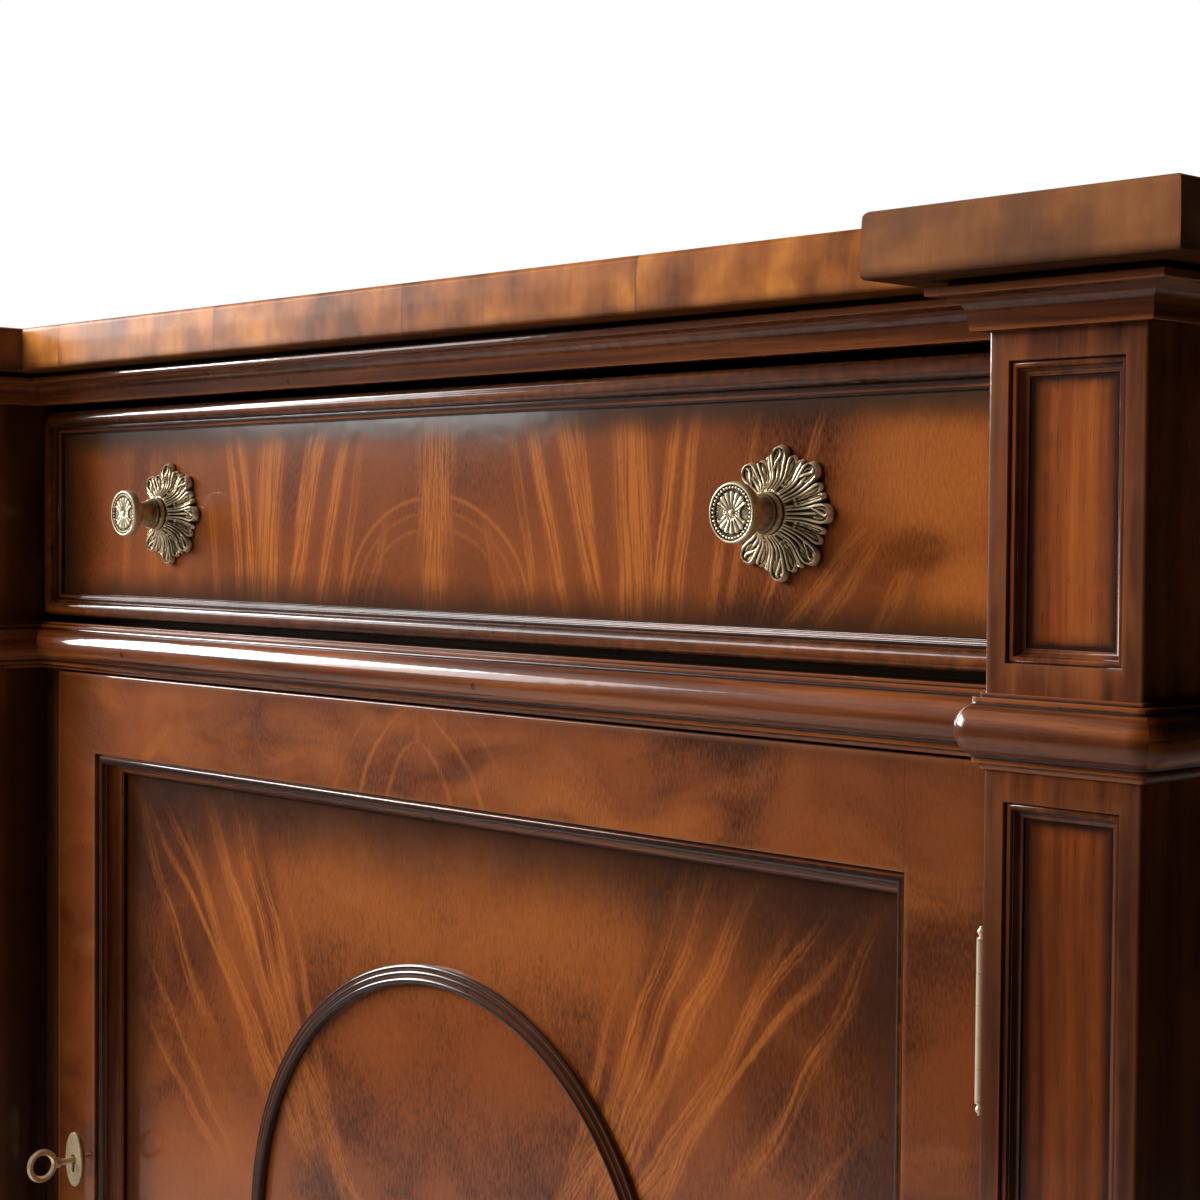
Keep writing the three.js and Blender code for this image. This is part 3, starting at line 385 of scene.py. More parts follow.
def moulding(name, section, corners, finish, base, closed=False, before=None, after=None,
             rise=(0, 0, 1), outwards=None, rounded=False):
    """A run of moulding. Corners are in mm, and its outside is on the left of the route. A rounded run
    has its outer corners turned round instead of mitred to a point."""
    spots = [Vector(c) for c in corners]
    outwards = outwards or (lambda d: Vector((-d.y, d.x, 0)))
    if closed:
        spots.append(spots[0])
    ways = [(b - a).normalized() for a, b in zip(spots, spots[1:])]
    mitres, places = [], []
    for i, spot in enumerate(spots):
        first = ways[i - 1] if i else (ways[-1] if closed else before or ways[0])
        last = ways[i] if i < len(ways) else (ways[0] if closed else after or ways[-1])
        a, b = outwards(Vector(first)), outwards(Vector(last))
        if rounded and a.dot(Vector(last)) < -0.5:
            start = CORNER_STEPS // 2 if i == 0 else 0
            end = CORNER_STEPS // 2 if i == len(spots) - 1 else CORNER_STEPS
            turned_by = [a.slerp(b, k / CORNER_STEPS) for k in range(start, end + 1)]
        else:
            turned_by = [(a + b) / (1 + a.dot(b))]
        mitres += turned_by
        places += [spot] * len(turned_by)
    spots, lengths = places, [0.0]
    for a, b in zip(spots, spots[1:]):
        lengths.append(lengths[-1] + (b - a).length * MM)
    up = Vector(rise)
    route = mesh_piece(name, [p * MM + up * base * MM for p in spots], [])
    with_floats(route.data, "mitre", "FLOAT_VECTOR", mitres)
    with_floats(route.data, "length", "FLOAT", lengths)
    drawing = section_piece(name + "_section", section)
    settle(route, moulding_run, {"Section": drawing, "Corners": len(spots),
                                 "Section Points": len(section[0]), "Rise": rise, "Finish": finish})
    bpy.data.objects.remove(drawing)
    return tidy_up(route)


def fit(made, body, slot, *nodes):
    """Says which body a piece moves with and the nodes that it stands for. Its material's slot is not used.
    """
    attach(made, body)
    if nodes:
        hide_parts(*nodes)


def speckle(tree, place, scale, detail):
    return put(tree, "ShaderNodeTexNoise", {"Vector": place, "Scale": scale, "Detail": detail}).outputs[0]


def stretched(tree, place, size, detail):
    """Noise with a size of its own along each axis."""
    return speckle(tree, vector(tree, "MULTIPLY", place, size), 1.0, detail)


def grain_group():
    """Mahogany seen along x: dark stripes and short open pores."""
    tree, given = node_tree("mahogany grain", "Shader", {"Along": "Vector"},
                            {"Stripe": "Float", "Pores": "Float"})
    lay = given["Along"]
    wander = put(tree, "ShaderNodeTexNoise", {"Vector": lay, "Scale": 6.0, "Detail": 2.0})
    bent = vector(tree, "MULTIPLY_ADD", wander.outputs["Color"], (0.0, 0.012, 0.012), lay)
    pores = span(tree, stretched(tree, bent, (70, 1500, 900), 2.0), 0.6, 0.72)
    put(tree, "NodeGroupOutput", {"Stripe": stretched(tree, bent, (4, 150, 90), 5.0), "Pores": pores})
    return tree


mahogany_grain = grain_group()


def grain(tree, lay):
    """The stripes and pores of wood whose grain runs along the first axis of lay."""
    return put(tree, "ShaderNodeGroup", {"Along": lay}, node_tree=mahogany_grain).outputs


def tones(tree, value, *stops):
    """A run of colours: each stop is a place and a linear colour."""
    ramp = put(tree, "ShaderNodeValToRGB", {0: value})
    steps = ramp.color_ramp.elements
    while len(steps) < len(stops):
        steps.new(0.5)
    for step, (place, colour) in zip(steps, stops):
        step.position = place
        step.color = (*colour, 1)
    return ramp.outputs[0]


def blend(tree, amount, a, b):
    """Colour a with colour b over it, by amount."""
    mix = put(tree, "ShaderNodeMix", {0: amount}, data_type="RGBA")
    for socket, value in ((mix.inputs[6], a), (mix.inputs[7], b)):
        if isinstance(value, bpy.types.NodeSocket):
            tree.links.new(value, socket)
        else:
            socket.default_value = (*value, 1)
    return mix.outputs[2]


def shaded(tree, inputs):
    shader = put(tree, "ShaderNodeBsdfPrincipled", inputs)
    put(tree, "ShaderNodeOutputMaterial", {0: shader.outputs[0]})


def lacquered(tree, colour, height, coat=0.08, gloss=0.9, wave_strength=0.25, sheen=0.06):
    """Gloss lacquer over stained wood: a clear coat with a faint waviness over a duller ground."""
    space = put(tree, "ShaderNodeTexCoord").outputs["Object"]
    wave = speckle(tree, space, 85.0, 1.0)
    wavy = put(tree, "ShaderNodeBump", {"Height": wave, "Strength": wave_strength,
                                        "Distance": 0.0004}).outputs[0]
    sunk = put(tree, "ShaderNodeBump", {"Height": height, "Strength": 0.6, "Distance": 0.00006,
                                        "Normal": wavy}, invert=True).outputs[0]
    shaded(tree, {"Base Color": vector(tree, "MULTIPLY", colour, (1.02, 0.93, 0.74)),
                  "Roughness": span(tree, wave, 0.3, 0.7, 0.5, 0.38), "Normal": sunk,
                  "Specular IOR Level": sheen, "Coat Weight": gloss, "Coat Roughness": coat,
                  "Coat IOR": 1.42, "Coat Normal": wavy})


def new_finish(name):
    material = bpy.data.materials.new(name)
    material.use_nodes = True
    material.node_tree.nodes.clear()
    return material, material.node_tree


def painted(tree, name):
    """A number stored on the mesh's points."""
    return put(tree, "ShaderNodeAttribute", attribute_name=name).outputs["Fac"]


# Glaze and painted shade in the quirks and hollows are nearly black.
GLAZE_AND_SHADE = (0.012, 0.004, 0.002)


def moulding_finish(name, dark, middle, light):
    """Solid mahogany with dark glaze and painted shade in its hollows, crests rubbed lighter with a painted
    highlight, and a few dark specks.
    """
    material, tree = new_finish(name)
    lay = put(tree, "ShaderNodeUVMap", uv_map="UVMap").outputs[0]
    space = put(tree, "ShaderNodeTexCoord").outputs["Object"]
    look = grain(tree, lay)
    crest = painted(tree, "crest")
    body = tones(tree, look["Stripe"], (0.28, dark), (0.5, middle), (0.72, light))
    body = blend(tree, times(tree, look["Pores"], 0.5), body, dark)
    ragged = speckle(tree, space, 160.0, 4.0)
    # Low crests get glaze and painted shade, high crests rubbing with a painted highlight.
    edge = scaled(tree, ragged, 0.34, minus(tree, crest, 0.17))
    glaze_and_shade = span(tree, edge, 0.42, 0.16, 0.93)
    rubbed_and_highlight = span(tree, edge, 0.62, 0.95, 0.5)
    body = blend(tree, rubbed_and_highlight, body, light)
    body = blend(tree, glaze_and_shade, body, GLAZE_AND_SHADE)
    cells = put(tree, "ShaderNodeTexVoronoi", {"Vector": space, "Scale": 34.0,
                                               "Randomness": 1.0}).outputs["Distance"]
    body = blend(tree, span(tree, cells, 0.075, 0.045, 0.8), body, (0.01, 0.004, 0.002))
    lacquered(tree, body, look["Pores"])
    return material


run_finish = moulding_finish("moulding_mahogany", (0.045, 0.011, 0.003), (0.15, 0.04, 0.01),
                             (0.33, 0.1, 0.024))

# Half widths and depths of the carcass in mm, from its middle: the posts stand forward of the bay.
CASE, BAY, PILASTER_FRONT, BAY_FRONT, CASE_BACK = 452.5, 382.5, -190.5, -156.5, 220
front_route = [(CASE, PILASTER_FRONT, 0), (BAY, PILASTER_FRONT, 0), (BAY, BAY_FRONT, 0),
               (-BAY, BAY_FRONT, 0), (-BAY, PILASTER_FRONT, 0), (-CASE, PILASTER_FRONT, 0)]
right_route = [(CASE, CASE_BACK, 0), (CASE, PILASTER_FRONT, 0)]
left_route = [(-CASE, PILASTER_FRONT, 0), (-CASE, CASE_BACK, 0)]
FORWARDS, BACKWARDS, LEFTWARDS = Vector((0, -1, 0)), Vector((0, 1, 0)), Vector((-1, 0, 0))


def band(name, section, base, rounded=False):
    """A moulding across the front, and one back along each side."""
    for end, route, before, after in (("front", front_route, FORWARDS, BACKWARDS),
                                      ("right", right_route, None, LEFTWARDS),
                                      ("left", left_route, LEFTWARDS, None)):
        made = moulding(f"{name}_{end}_run", section, route, run_finish, base, before=before, after=after,
                        rounded=rounded)
        fit(made, "case", "solid_mahogany", f"{name}_{end}")


band("cornice", drawn([(0.1, 0), (5.2, 0), (6.2, 6.5), (15.8, 6.5, 9.6, 6.4, 180, 90), (17.4, 13.1),
                       (17.4, 16.3), (11, 16.3), (11, 18.7), (0.1, 18.7), (0.1, 0)]), base=869)

# ---------------------------------------------------------------- mid moulding
# The big half-round between drawer and door, with a fillet and a small cove above and below it.
# Solid mahogany, mitred in and out round the pilasters and glued over the joint of the posts.
band("mid_moulding", drawn([(0.1, 0), (1.3, 0), (4.7, 0, 3.4, 2.6, 180, 90), (4.7, 4.6),
                            (2.5, 14.95, 9, 10.05, -75, 75), (4.5, 25.2), (4.5, 27.4), (1.3, 27.4), (1.3, 29),
                            (0.1, 29), (0.1, 0)], steps=16), base=704, rounded=True)

# ---------------------------------------------------------------- plinth
# The base moulding: a flat board with a bead and a small cove on top, mitred like the others.
# It stands on the floor in front of the posts and hides their feet.
band("plinth", drawn([(0.1, 0), (12, 0), (12, 63), (6, 66), (6, 72, 6, 6, -90, 90),
                      (6, 89, 2.6, 11, -90, -180), (3.4, 92), (0.1, 92), (0.1, 0)], longest=4), base=0)

# ---------------------------------------------------------------- top
# One thick board that steps forwards over each pilaster. Its face has flame veneer inside a
# border, and its edge has veneer with upright grain, laid in short lengths with visible joints.
def coordinates(tree):
    """A point's place on the cabinet in metres, whole and by axis."""
    space = put(tree, "ShaderNodeTexCoord").outputs["Object"]
    return space, put(tree, "ShaderNodeSeparateXYZ", {0: space}).outputs


def unsigned(tree, a):
    return sum_of(tree, "ABSOLUTE", a)


def joined(tree, x, y, z=0.0):
    return put(tree, "ShaderNodeCombineXYZ", {0: x, 1: y, 2: z}).outputs[0]


edge_finish, tree = new_finish("top_edge_veneer")
lay = put(tree, "ShaderNodeUVMap", uv_map="UVMap").outputs[0]
split = put(tree, "ShaderNodeSeparateXYZ", {0: lay}).outputs
VENEER_LENGTH = 0.165
leaf = sum_of(tree, "DIVIDE", split["X"], VENEER_LENGTH)
number = sum_of(tree, "FLOOR", leaf)
seam = unsigned(tree, minus(tree, minus(tree, leaf, number), 0.5))
seam = span(tree, seam, 0.4935, 0.4985, 0.55)
slip = put(tree, "ShaderNodeTexWhiteNoise", {"W": number}, noise_dimensions="1D").outputs["Color"]
spun = joined(tree, split["Y"], split["X"], number)
spun = vector(tree, "MULTIPLY_ADD", slip, (0.3, 0.3, 0.3), spun)
look = grain(tree, spun)
mottle = stretched(tree, spun, (30, 34, 1), 6.0)
tone = scaled(tree, look["Stripe"], 0.14, times(tree, mottle, 0.86))
body = tones(tree, tone, (0.34, (0.145, 0.045, 0.012)), (0.5, (0.345, 0.112, 0.021)),
             (0.66, (0.58, 0.22, 0.045)))
body = blend(tree, seam, body, (0.09, 0.03, 0.012))
spot = coordinates(tree)[1]
# Painted reflection: the edge paler towards the left, as the window's sheen.
painted_reflection_at_left = span(tree, spot["X"], 0.05, -0.36, 0.1, soft=True)
body = blend(tree, painted_reflection_at_left, body, (0.62, 0.36, 0.2))
# Painted reflection: a greyish haze on the edge where it steps forwards over the posts.
painted_reflection_on_blocks = span(tree, unsigned(tree, spot["X"]), 0.3475, 0.3485, 0.6)
body = blend(tree, painted_reflection_on_blocks, body, (0.15, 0.085, 0.066))
# Painted shade on the lowest rounding and the underside of the top.
foot = span(tree, spot["Z"], 0.893, 0.888, 0.8)
body = blend(tree, foot, body, (0.03, 0.009, 0.003))
lacquered(tree, body, look["Pores"], coat=0.3, gloss=0.15, sheen=0.01)


def edge_distance(tree, x, z, half_x, half_z):
    """Metres from the nearest edge of a rectangle, for a point given from its middle."""
    a = minus(tree, half_x, unsigned(tree, x))
    b = minus(tree, half_z, unsigned(tree, z))
    return sum_of(tree, "MINIMUM", a, b)


def length_of(tree, place):
    return put(tree, "ShaderNodeVectorMath", {0: place}, operation="LENGTH").outputs["Value"]


def plume_group():
    """One fan of flame figure: fine streaks that spread from a foot, brightest along its middle."""
    tree, given = node_tree("flame plume", "Shader", dict.fromkeys(
        ("X", "Z", "Foot X", "Foot Z", "Lean", "Spread", "Start", "Reach", "Seed", "Streaks"), "Float"),
        {"Light": "Float"})
    dx = minus(tree, given["X"], given["Foot X"])
    dz = minus(tree, given["Z"], given["Foot Z"])
    spot = joined(tree, dx, dz, given["Seed"])
    far = length_of(tree, joined(tree, dx, dz))
    turn = minus(tree, sum_of(tree, "ARCTAN2", dx, dz), given["Lean"])
    stir = speckle(tree, spot, 14.0, 2.0)
    turn = scaled(tree, minus(tree, stir, 0.5), 0.07, turn)
    lines = joined(tree, times(tree, turn, given["Streaks"]), times(tree, far, 7.0), given["Seed"])
    coarse = put(tree, "ShaderNodeTexNoise", {"Vector": lines, "Scale": 1.0, "Detail": 3.0,
                                              "Roughness": 0.6}).outputs[0]
    coarse = span(tree, coarse, 0.4, 0.66, soft=True)
    side = span(tree, unsigned(tree, turn), given["Spread"], times(tree, given["Spread"], 0.35), soft=True)
    begin = span(tree, far, given["Start"], sum_of(tree, "ADD", given["Start"], 0.03), soft=True)
    end = span(tree, far, given["Reach"], times(tree, given["Reach"], 0.6), soft=True)
    mask = times(tree, side, times(tree, begin, end))
    put(tree, "NodeGroupOutput", {"Light": times(tree, coarse, mask)})
    return tree


flame_plume = plume_group()


def plumes(tree, x, z, rows):
    """The brightest of several fans at each point. A row holds the foot, the lean and the spread in
    degrees, where the fan starts and ends along its streaks, its strength and its count of streaks."""
    total = None
    for seed, (foot_x, foot_z, lean, spread, start, reach, strength, streaks) in enumerate(rows):
        light = put(tree, "ShaderNodeGroup", {"X": x, "Z": z, "Foot X": foot_x, "Foot Z": foot_z,
                    "Lean": math.radians(lean), "Spread": math.radians(spread), "Start": start,
                    "Reach": reach, "Seed": seed * 3.7, "Streaks": streaks},
                    node_tree=flame_plume).outputs[0]
        light = times(tree, light, strength)
        total = light if total is None else most(tree, total, light)
    return total


FLAME_DARK, FLAME_MIDDLE = (0.05, 0.012, 0.004), (0.2, 0.054, 0.014)
FLAME_LIGHT = (0.46, 0.148, 0.032)


def flame_colour(tree, space, light, mottle, look, dark=0.0):
    """Flame figure: clouds of tone, light streaks and dark patches, broken up by fine short fibres."""
    fibres = stretched(tree, space, (900, 900, 260), 3.0)
    cloud = scaled(tree, fibres, 0.34, scaled(tree, mottle, 0.95, -0.14))
    colour = tones(tree, cloud, (0.3, FLAME_DARK), (0.47, FLAME_MIDDLE), (0.72, (0.29, 0.082, 0.019)))
    streak = times(tree, light, scaled(tree, fibres, 1.5, 0.25), clamp=True)
    colour = blend(tree, streak, colour, FLAME_LIGHT)
    shade = times(tree, dark, scaled(tree, fibres, -0.8, 1.3), clamp=True)
    colour = blend(tree, shade, colour, FLAME_DARK)
    return blend(tree, times(tree, look["Pores"], 0.25), colour, FLAME_DARK)


def warped_noise(tree, space, size, warp, detail=4.0):
    """Soft clouds that curl like crotch figure."""
    push = put(tree, "ShaderNodeTexNoise", {"Vector": space, "Scale": 7.0, "Detail": 2.0}).outputs["Color"]
    bent = vector(tree, "MULTIPLY_ADD", push, (warp, warp, warp), space)
    return stretched(tree, bent, size, detail)


top_finish, tree = new_finish("top_face_veneer")
space, spot = coordinates(tree)
look = grain(tree, joined(tree, spot["Y"], spot["X"]))
mirrored = sum_of(tree, "PINGPONG", spot["X"], 0.1625)
rows = [(0.0, 0.26, 180, 30, 0.04, 0.5, 1.0, 26), (0.1625, -0.28, 0, 34, 0.04, 0.46, 0.8, 24)]
light = plumes(tree, mirrored, spot["Y"], rows)
mottle = warped_noise(tree, space, (9, 6, 9), 0.12)
body = flame_colour(tree, space, light, mottle, look)
inset = edge_distance(tree, spot["X"], minus(tree, spot["Y"], 0.017), 0.487, 0.208)
border = span(tree, inset, 0.0602, 0.0598)
cross = tones(tree, look["Stripe"], (0.3, (0.09, 0.028, 0.01)), (0.7, (0.25, 0.085, 0.026)))
body = blend(tree, border, body, cross)
line = span(tree, unsigned(tree, minus(tree, inset, 0.0605)), 0.0009, 0.0005, 0.9)
body = blend(tree, line, body, (0.02, 0.007, 0.003))
lacquered(tree, body, look["Pores"])

outline = [(486.99, -224.99, 0), (348, -224.99, 0), (348, -191, 0), (-348, -191, 0), (-348, -224.99, 0),
           (-486.99, -224.99, 0), (-486.99, 224.99, 0), (486.99, 224.99, 0)]
crowned = [(-4.5, 0), (-1.6, 0), (-1.6, 1.6, 1.5, 1.6, -90, 0), (0, 12), (0, 15), (-0.4, 23.2),
           (-3.3, 23.2, 2.9, 2.8, 6, 90), (-6, 25.99)]
top = moulding("top", drawn(crowned, steps=6, ease=1.2, longest=1.0), outline, edge_finish, 888, closed=True)
top.data.materials.append(top_finish)
for face in top.data.polygons:
    if face.normal.z > 0.9 and face.center.z > 0.9138:
        face.material_index = len(top.data.materials) - 1
fit(top, "case", "flame_mahogany", "top_slab")

# ---------------------------------------------------------------- pilasters
# Solid posts at the front corners, faced with straight-grained veneer. Each has a sunk panel with
# a small mitred moulding, and its arrises are rubbed lighter with a painted highlight. The mid
# moulding hides the posts' joint.
post_finish, tree = new_finish("post_mahogany")
space, spot = coordinates(tree)
look = grain(tree, joined(tree, spot["Z"], spot["X"], spot["Y"]))
crest = painted(tree, "crest")
inner = painted(tree, "inner")
face = tones(tree, look["Stripe"], (0.28, (0.055, 0.014, 0.005)), (0.5, (0.13, 0.034, 0.01)),
             (0.75, (0.26, 0.075, 0.018)))
panel = tones(tree, look["Stripe"], (0.28, (0.09, 0.02, 0.005)), (0.5, (0.25, 0.058, 0.011)),
              (0.75, (0.43, 0.125, 0.022)))
body = blend(tree, inner, face, panel)
warm = stretched(tree, space, (45, 20, 14), 3.0)
warm = span(tree, warm, 0.46, 0.66, 0.65)
body = blend(tree, warm, body, (0.34, 0.1, 0.022))
body = blend(tree, times(tree, look["Pores"], 0.55), body, (0.035, 0.011, 0.005))
ragged = speckle(tree, space, 130.0, 4.0)
# Low crests get glaze and painted shade, high crests rubbing with a painted highlight.
edge = scaled(tree, ragged, 0.3, minus(tree, crest, 0.15))
glaze_and_shade = span(tree, edge, 0.45, 0.12, 0.95)
rubbed_and_highlight = span(tree, edge, 0.62, 0.95, 0.55)
body = blend(tree, rubbed_and_highlight, body, (0.27, 0.095, 0.035))
body = blend(tree, glaze_and_shade, body, (0.011, 0.004, 0.002))
# The sunk panels darken towards their sides: glaze with painted shade beside the moulding.
aside = unsigned(tree, minus(tree, unsigned(tree, spot["X"]), 0.4185))
aside = scaled(tree, warm, 0.006, scaled(tree, ragged, 0.01, minus(tree, aside, 0.006)))
panel_side_glaze_and_shade = span(tree, aside, 0.006, 0.022, 0.75, soft=True)
body = blend(tree, times(tree, panel_side_glaze_and_shade, inner), body, (0.03, 0.01, 0.005))
patina = span(tree, scaled(tree, ragged, 0.008, aside), 0.028, 0.037, 0.35)
patina = times(tree, patina, sum_of(tree, "LESS_THAN", spot["Y"], -0.187))
body = blend(tree, patina, body, (0.085, 0.042, 0.026))
# Painted shade: the posts darker below the mid moulding, where the light falls off downwards.
lower = span(tree, spot["Z"], 0.72, 0.66, 0.5)
body = blend(tree, lower, body, (0.028, 0.007, 0.003))
# Painted shade on the posts' sides that face the bay.
inwards = span(tree, spot["Y"], -0.189, -0.18, 0.8)
inwards = times(tree, inwards, sum_of(tree, "LESS_THAN", unsigned(tree, spot["X"]), 0.4))
body = blend(tree, inwards, body, (0.02, 0.006, 0.003))
lacquered(tree, body, look["Pores"])


def strips(rows, around):
    """Faces between neighbouring rings of points, each ring given by the number of its first point."""
    faces = []
    for a, b in zip(rows, rows[1:]):
        for i in range(around):
            j = (i + 1) % around
            faces.append((a + i, a + j, b + j, b + i))
    return faces


def skinned(name, points, faces, crests, finish):
    """A piece with its crests and its finish."""
    made = mesh_piece(name, points, faces)
    with_floats(made.data, "crest", "FLOAT", crests)
    made.data.materials.append(finish)
    return made


EASED = 6


def eased_rings(ease=1.4):
    """Insets and depths of the rings over a rounded arris that turns from the side to the face."""
    turns = [math.pi / 2 * i / (EASED - 1) for i in range(EASED)]
    return [(ease * (1 - math.cos(a)), ease * (1 - math.sin(a))) for a in turns]


POST_X, POST_HALF, POST_BACK, BORDER = 417.5, 34.95, -136.5, 9


def post(name, side, low, high, panel_low, panel_high, replaced):
    """One post: rectangles of points from the back over the arris and the border to the sunk panel."""
    left, right, front = POST_X * side - POST_HALF, POST_X * side + POST_HALF, PILASTER_FRONT
    rings = [(left, right, low, high, POST_BACK, 0.4, 0)]
    for inset, depth in eased_rings():
        rings.append((left + inset, right - inset, low, high, front + depth, 0.78, 0))
    for inset in (3.2, 6):
        rings.append((left + inset, right - inset, low + (panel_low - low) * inset / BORDER,
                      high - (high - panel_high) * inset / BORDER, front, 0.52, 0))
    shape = [(0.0, 0.0), (0.25, 0.08), (0.42, 0.3), (0.5, 0.7), (0.5, 1.9), (0.75, 2.0), (1.3, 1.55),
             (2.0, 1.4), (2.7, 1.6), (3.1, 2.1), (3.2, 2.7), (3.45, 2.8), (3.6, 3.2), (3.9, 4.0), (4.5, 4.7),
             (5.3, 5.15), (5.9, 5.2), (6.1, 5.3), (6.2, 6.0), (7.4, 6.0), (9.5, 6.0), (13.0, 6.0)]
    proud = [0.8, 0.9, 0.8, 0.45, 0.1, 0.12, 0.5, 0.62, 0.6, 0.4, 0.12, 0.3, 0.5, 0.4, 0.35, 0.4, 0.7, 0.5,
             0.05, 0.12, 0.34, 0.5]
    edge_x = BORDER - 0.05
    for (inset, depth), value in zip(shape, proud):
        rings.append((left + edge_x + inset, right - edge_x - inset, panel_low + inset,
                      panel_high - inset, front + depth, value, 1.0 if depth >= 5.9 else 0.0))
    points, crests, inners = [], [], []
    for x0, x1, z0, z1, y, crest_of, inner_of in rings:
        points += [Vector((x, y, z)) * MM for x, z in ((x0, z0), (x1, z0), (x1, z1), (x0, z1))]
        crests += [crest_of] * 4
        inners += [inner_of] * 4
    rows = range(0, len(points), 4)
    faces = strips(rows, 4) + [(0, 3, 2, 1), tuple(rows[-1] + i for i in range(4))]
    made = skinned(name, points, faces, crests, post_finish)
    with_floats(made.data, "inner", "FLOAT", inners)
    fit(tidy_up(made), "case", "border_mahogany", replaced)


for side, end in ((-1, "left"), (1, "right")):
    post("upper_post_" + end, side, 718.8, 887.7, 744, 858, "pilaster_upper_" + end)
    post("lower_post_" + end, side, 0, 718.5, 103.5, 692.5, "pilaster_lower_" + end)

# ---------------------------------------------------------------- case boards
# Sides veneered with upright grain, dark mahogany jambs and rails, and plain pale wood inside.
# The boards butt against each other with a thin line of glue, and the back stands between the
# sides. They are the CAD's own meshes, so this section only gives them their finishes.
side_finish, tree = new_finish("side_veneer")
space, spot = coordinates(tree)
look = grain(tree, joined(tree, spot["Z"], spot["Y"], spot["X"]))
mottle = warped_noise(tree, space, (6, 7, 3), 0.1)
tone = scaled(tree, look["Stripe"], 0.55, times(tree, mottle, 0.5))
body = tones(tree, tone, (0.35, (0.045, 0.012, 0.005)), (0.52, (0.11, 0.032, 0.01)),
             (0.72, (0.2, 0.06, 0.018)))
body = blend(tree, times(tree, look["Pores"], 0.5), body, (0.04, 0.012, 0.005))
lacquered(tree, body, look["Pores"])

dark_finish, tree = new_finish("rail_mahogany")
spot = coordinates(tree)[1]
look = grain(tree, joined(tree, spot["Z"], spot["X"], spot["Y"]))
body = tones(tree, look["Stripe"], (0.3, (0.02, 0.006, 0.003)), (0.7, (0.085, 0.026, 0.01)))
lacquered(tree, body, look["Pores"], coat=0.17)

inside_finish, tree = new_finish("inside_wood")
look = grain(tree, coordinates(tree)[0])
body = tones(tree, look["Stripe"], (0.3, (0.3, 0.17, 0.08)), (0.7, (0.47, 0.3, 0.16)))
body = blend(tree, times(tree, look["Pores"], 0.4), body, (0.2, 0.1, 0.045))
bumped = put(tree, "ShaderNodeBump", {"Height": look["Pores"], "Strength": 0.5, "Distance": 0.0001},
             invert=True).outputs[0]
shaded(tree, {"Base Color": body, "Roughness": span(tree, look["Stripe"], 0.3, 0.7, 0.5, 0.62),
              "Normal": bumped})


def dress(finish, *names):
    """Gives the CAD's own meshes a finish."""
    for name in names:
        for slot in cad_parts[name].material_slots:
            slot.material = finish


dress(side_finish, "side_left", "side_right")
dress(dark_finish, "jamb_left", "jamb_right", "mid_rail", "door_stop")
dress(inside_finish, "sub_top", "bottom_board", "dust_board", "back_panel", "shelf", "drawer_guide_left",
      "drawer_guide_right")

# ---------------------------------------------------------------- drawer
# A solid core faced with book-matched flame veneer, its fans opening upwards, inside a moulding
# that is planted round the edge. Behind it is a plain box that runs on the board below.
def streak_group():
    """One light streak of figure from its foot to its top, soft along its sides and ends."""
    tree, given = node_tree("light streak", "Shader", dict.fromkeys(
        ("X", "Z", "Foot X", "Foot Z", "Top X", "Top Z", "Bend", "Width"), "Float"), {"Light": "Float"})
    share = put(tree, "ShaderNodeMapRange", {0: given["Z"], 1: given["Foot Z"], 2: given["Top Z"]},
                clamp=False).outputs[0]
    bow = times(tree, times(tree, share, minus(tree, 1.0, share)), given["Bend"])
    line = put(tree, "ShaderNodeMapRange", {0: share, 3: given["Foot X"], 4: given["Top X"]},
               clamp=False).outputs[0]
    off = unsigned(tree, minus(tree, given["X"], sum_of(tree, "ADD", line, bow)))
    off = sum_of(tree, "DIVIDE", off, given["Width"])
    found = span(tree, off, 1.25, 0.3, soft=True)
    for start, end in ((-0.1, 0.2), (1.1, 0.62)):
        found = times(tree, found, span(tree, share, start, end, soft=True))
    threads = joined(tree, times(tree, minus(tree, given["X"], line), 620.0), times(tree, share, 2.6),
                     times(tree, given["Foot X"], 900.0))
    threads = span(tree, speckle(tree, threads, 1.0, 2.0), 0.36, 0.62, 1.2, 0.12)
    put(tree, "NodeGroupOutput", {"Light": times(tree, found, threads)})
    return tree


light_streak = streak_group()


def streaks(tree, x, z, rows):
    """The brightest of several streaks at each point. A row holds the foot, the top, the bow, the half
    width, all in mm, and the strength."""
    total = None
    for foot_x, foot_z, top_x, top_z, bow, width, strength in rows:
        light = put(tree, "ShaderNodeGroup", {
            "X": x, "Z": z, "Foot X": foot_x * MM, "Foot Z": foot_z * MM, "Top X": top_x * MM,
            "Top Z": top_z * MM, "Bend": bow * 4 * MM, "Width": width * MM},
            node_tree=light_streak).outputs[0]
        light = times(tree, light, strength)
        total = light if total is None else most(tree, total, light)
    return total


def patch(tree, x, z, centre_x, centre_z, reach_x, reach_z):
    """A soft oval patch, 1 in its middle."""
    a = sum_of(tree, "DIVIDE", minus(tree, x, centre_x * MM), reach_x * MM)
    b = sum_of(tree, "DIVIDE", minus(tree, z, centre_z * MM), reach_z * MM)
    far = length_of(tree, joined(tree, a, b))
    return span(tree, far, 1.0, 0.3, soft=True)


def patches(tree, x, z, rows):
    """The strongest of several patches: each row holds a strength, then a patch's middle and reach."""
    return most(tree, *(times(tree, patch(tree, x, z, *oval), strength) for strength, *oval in rows))


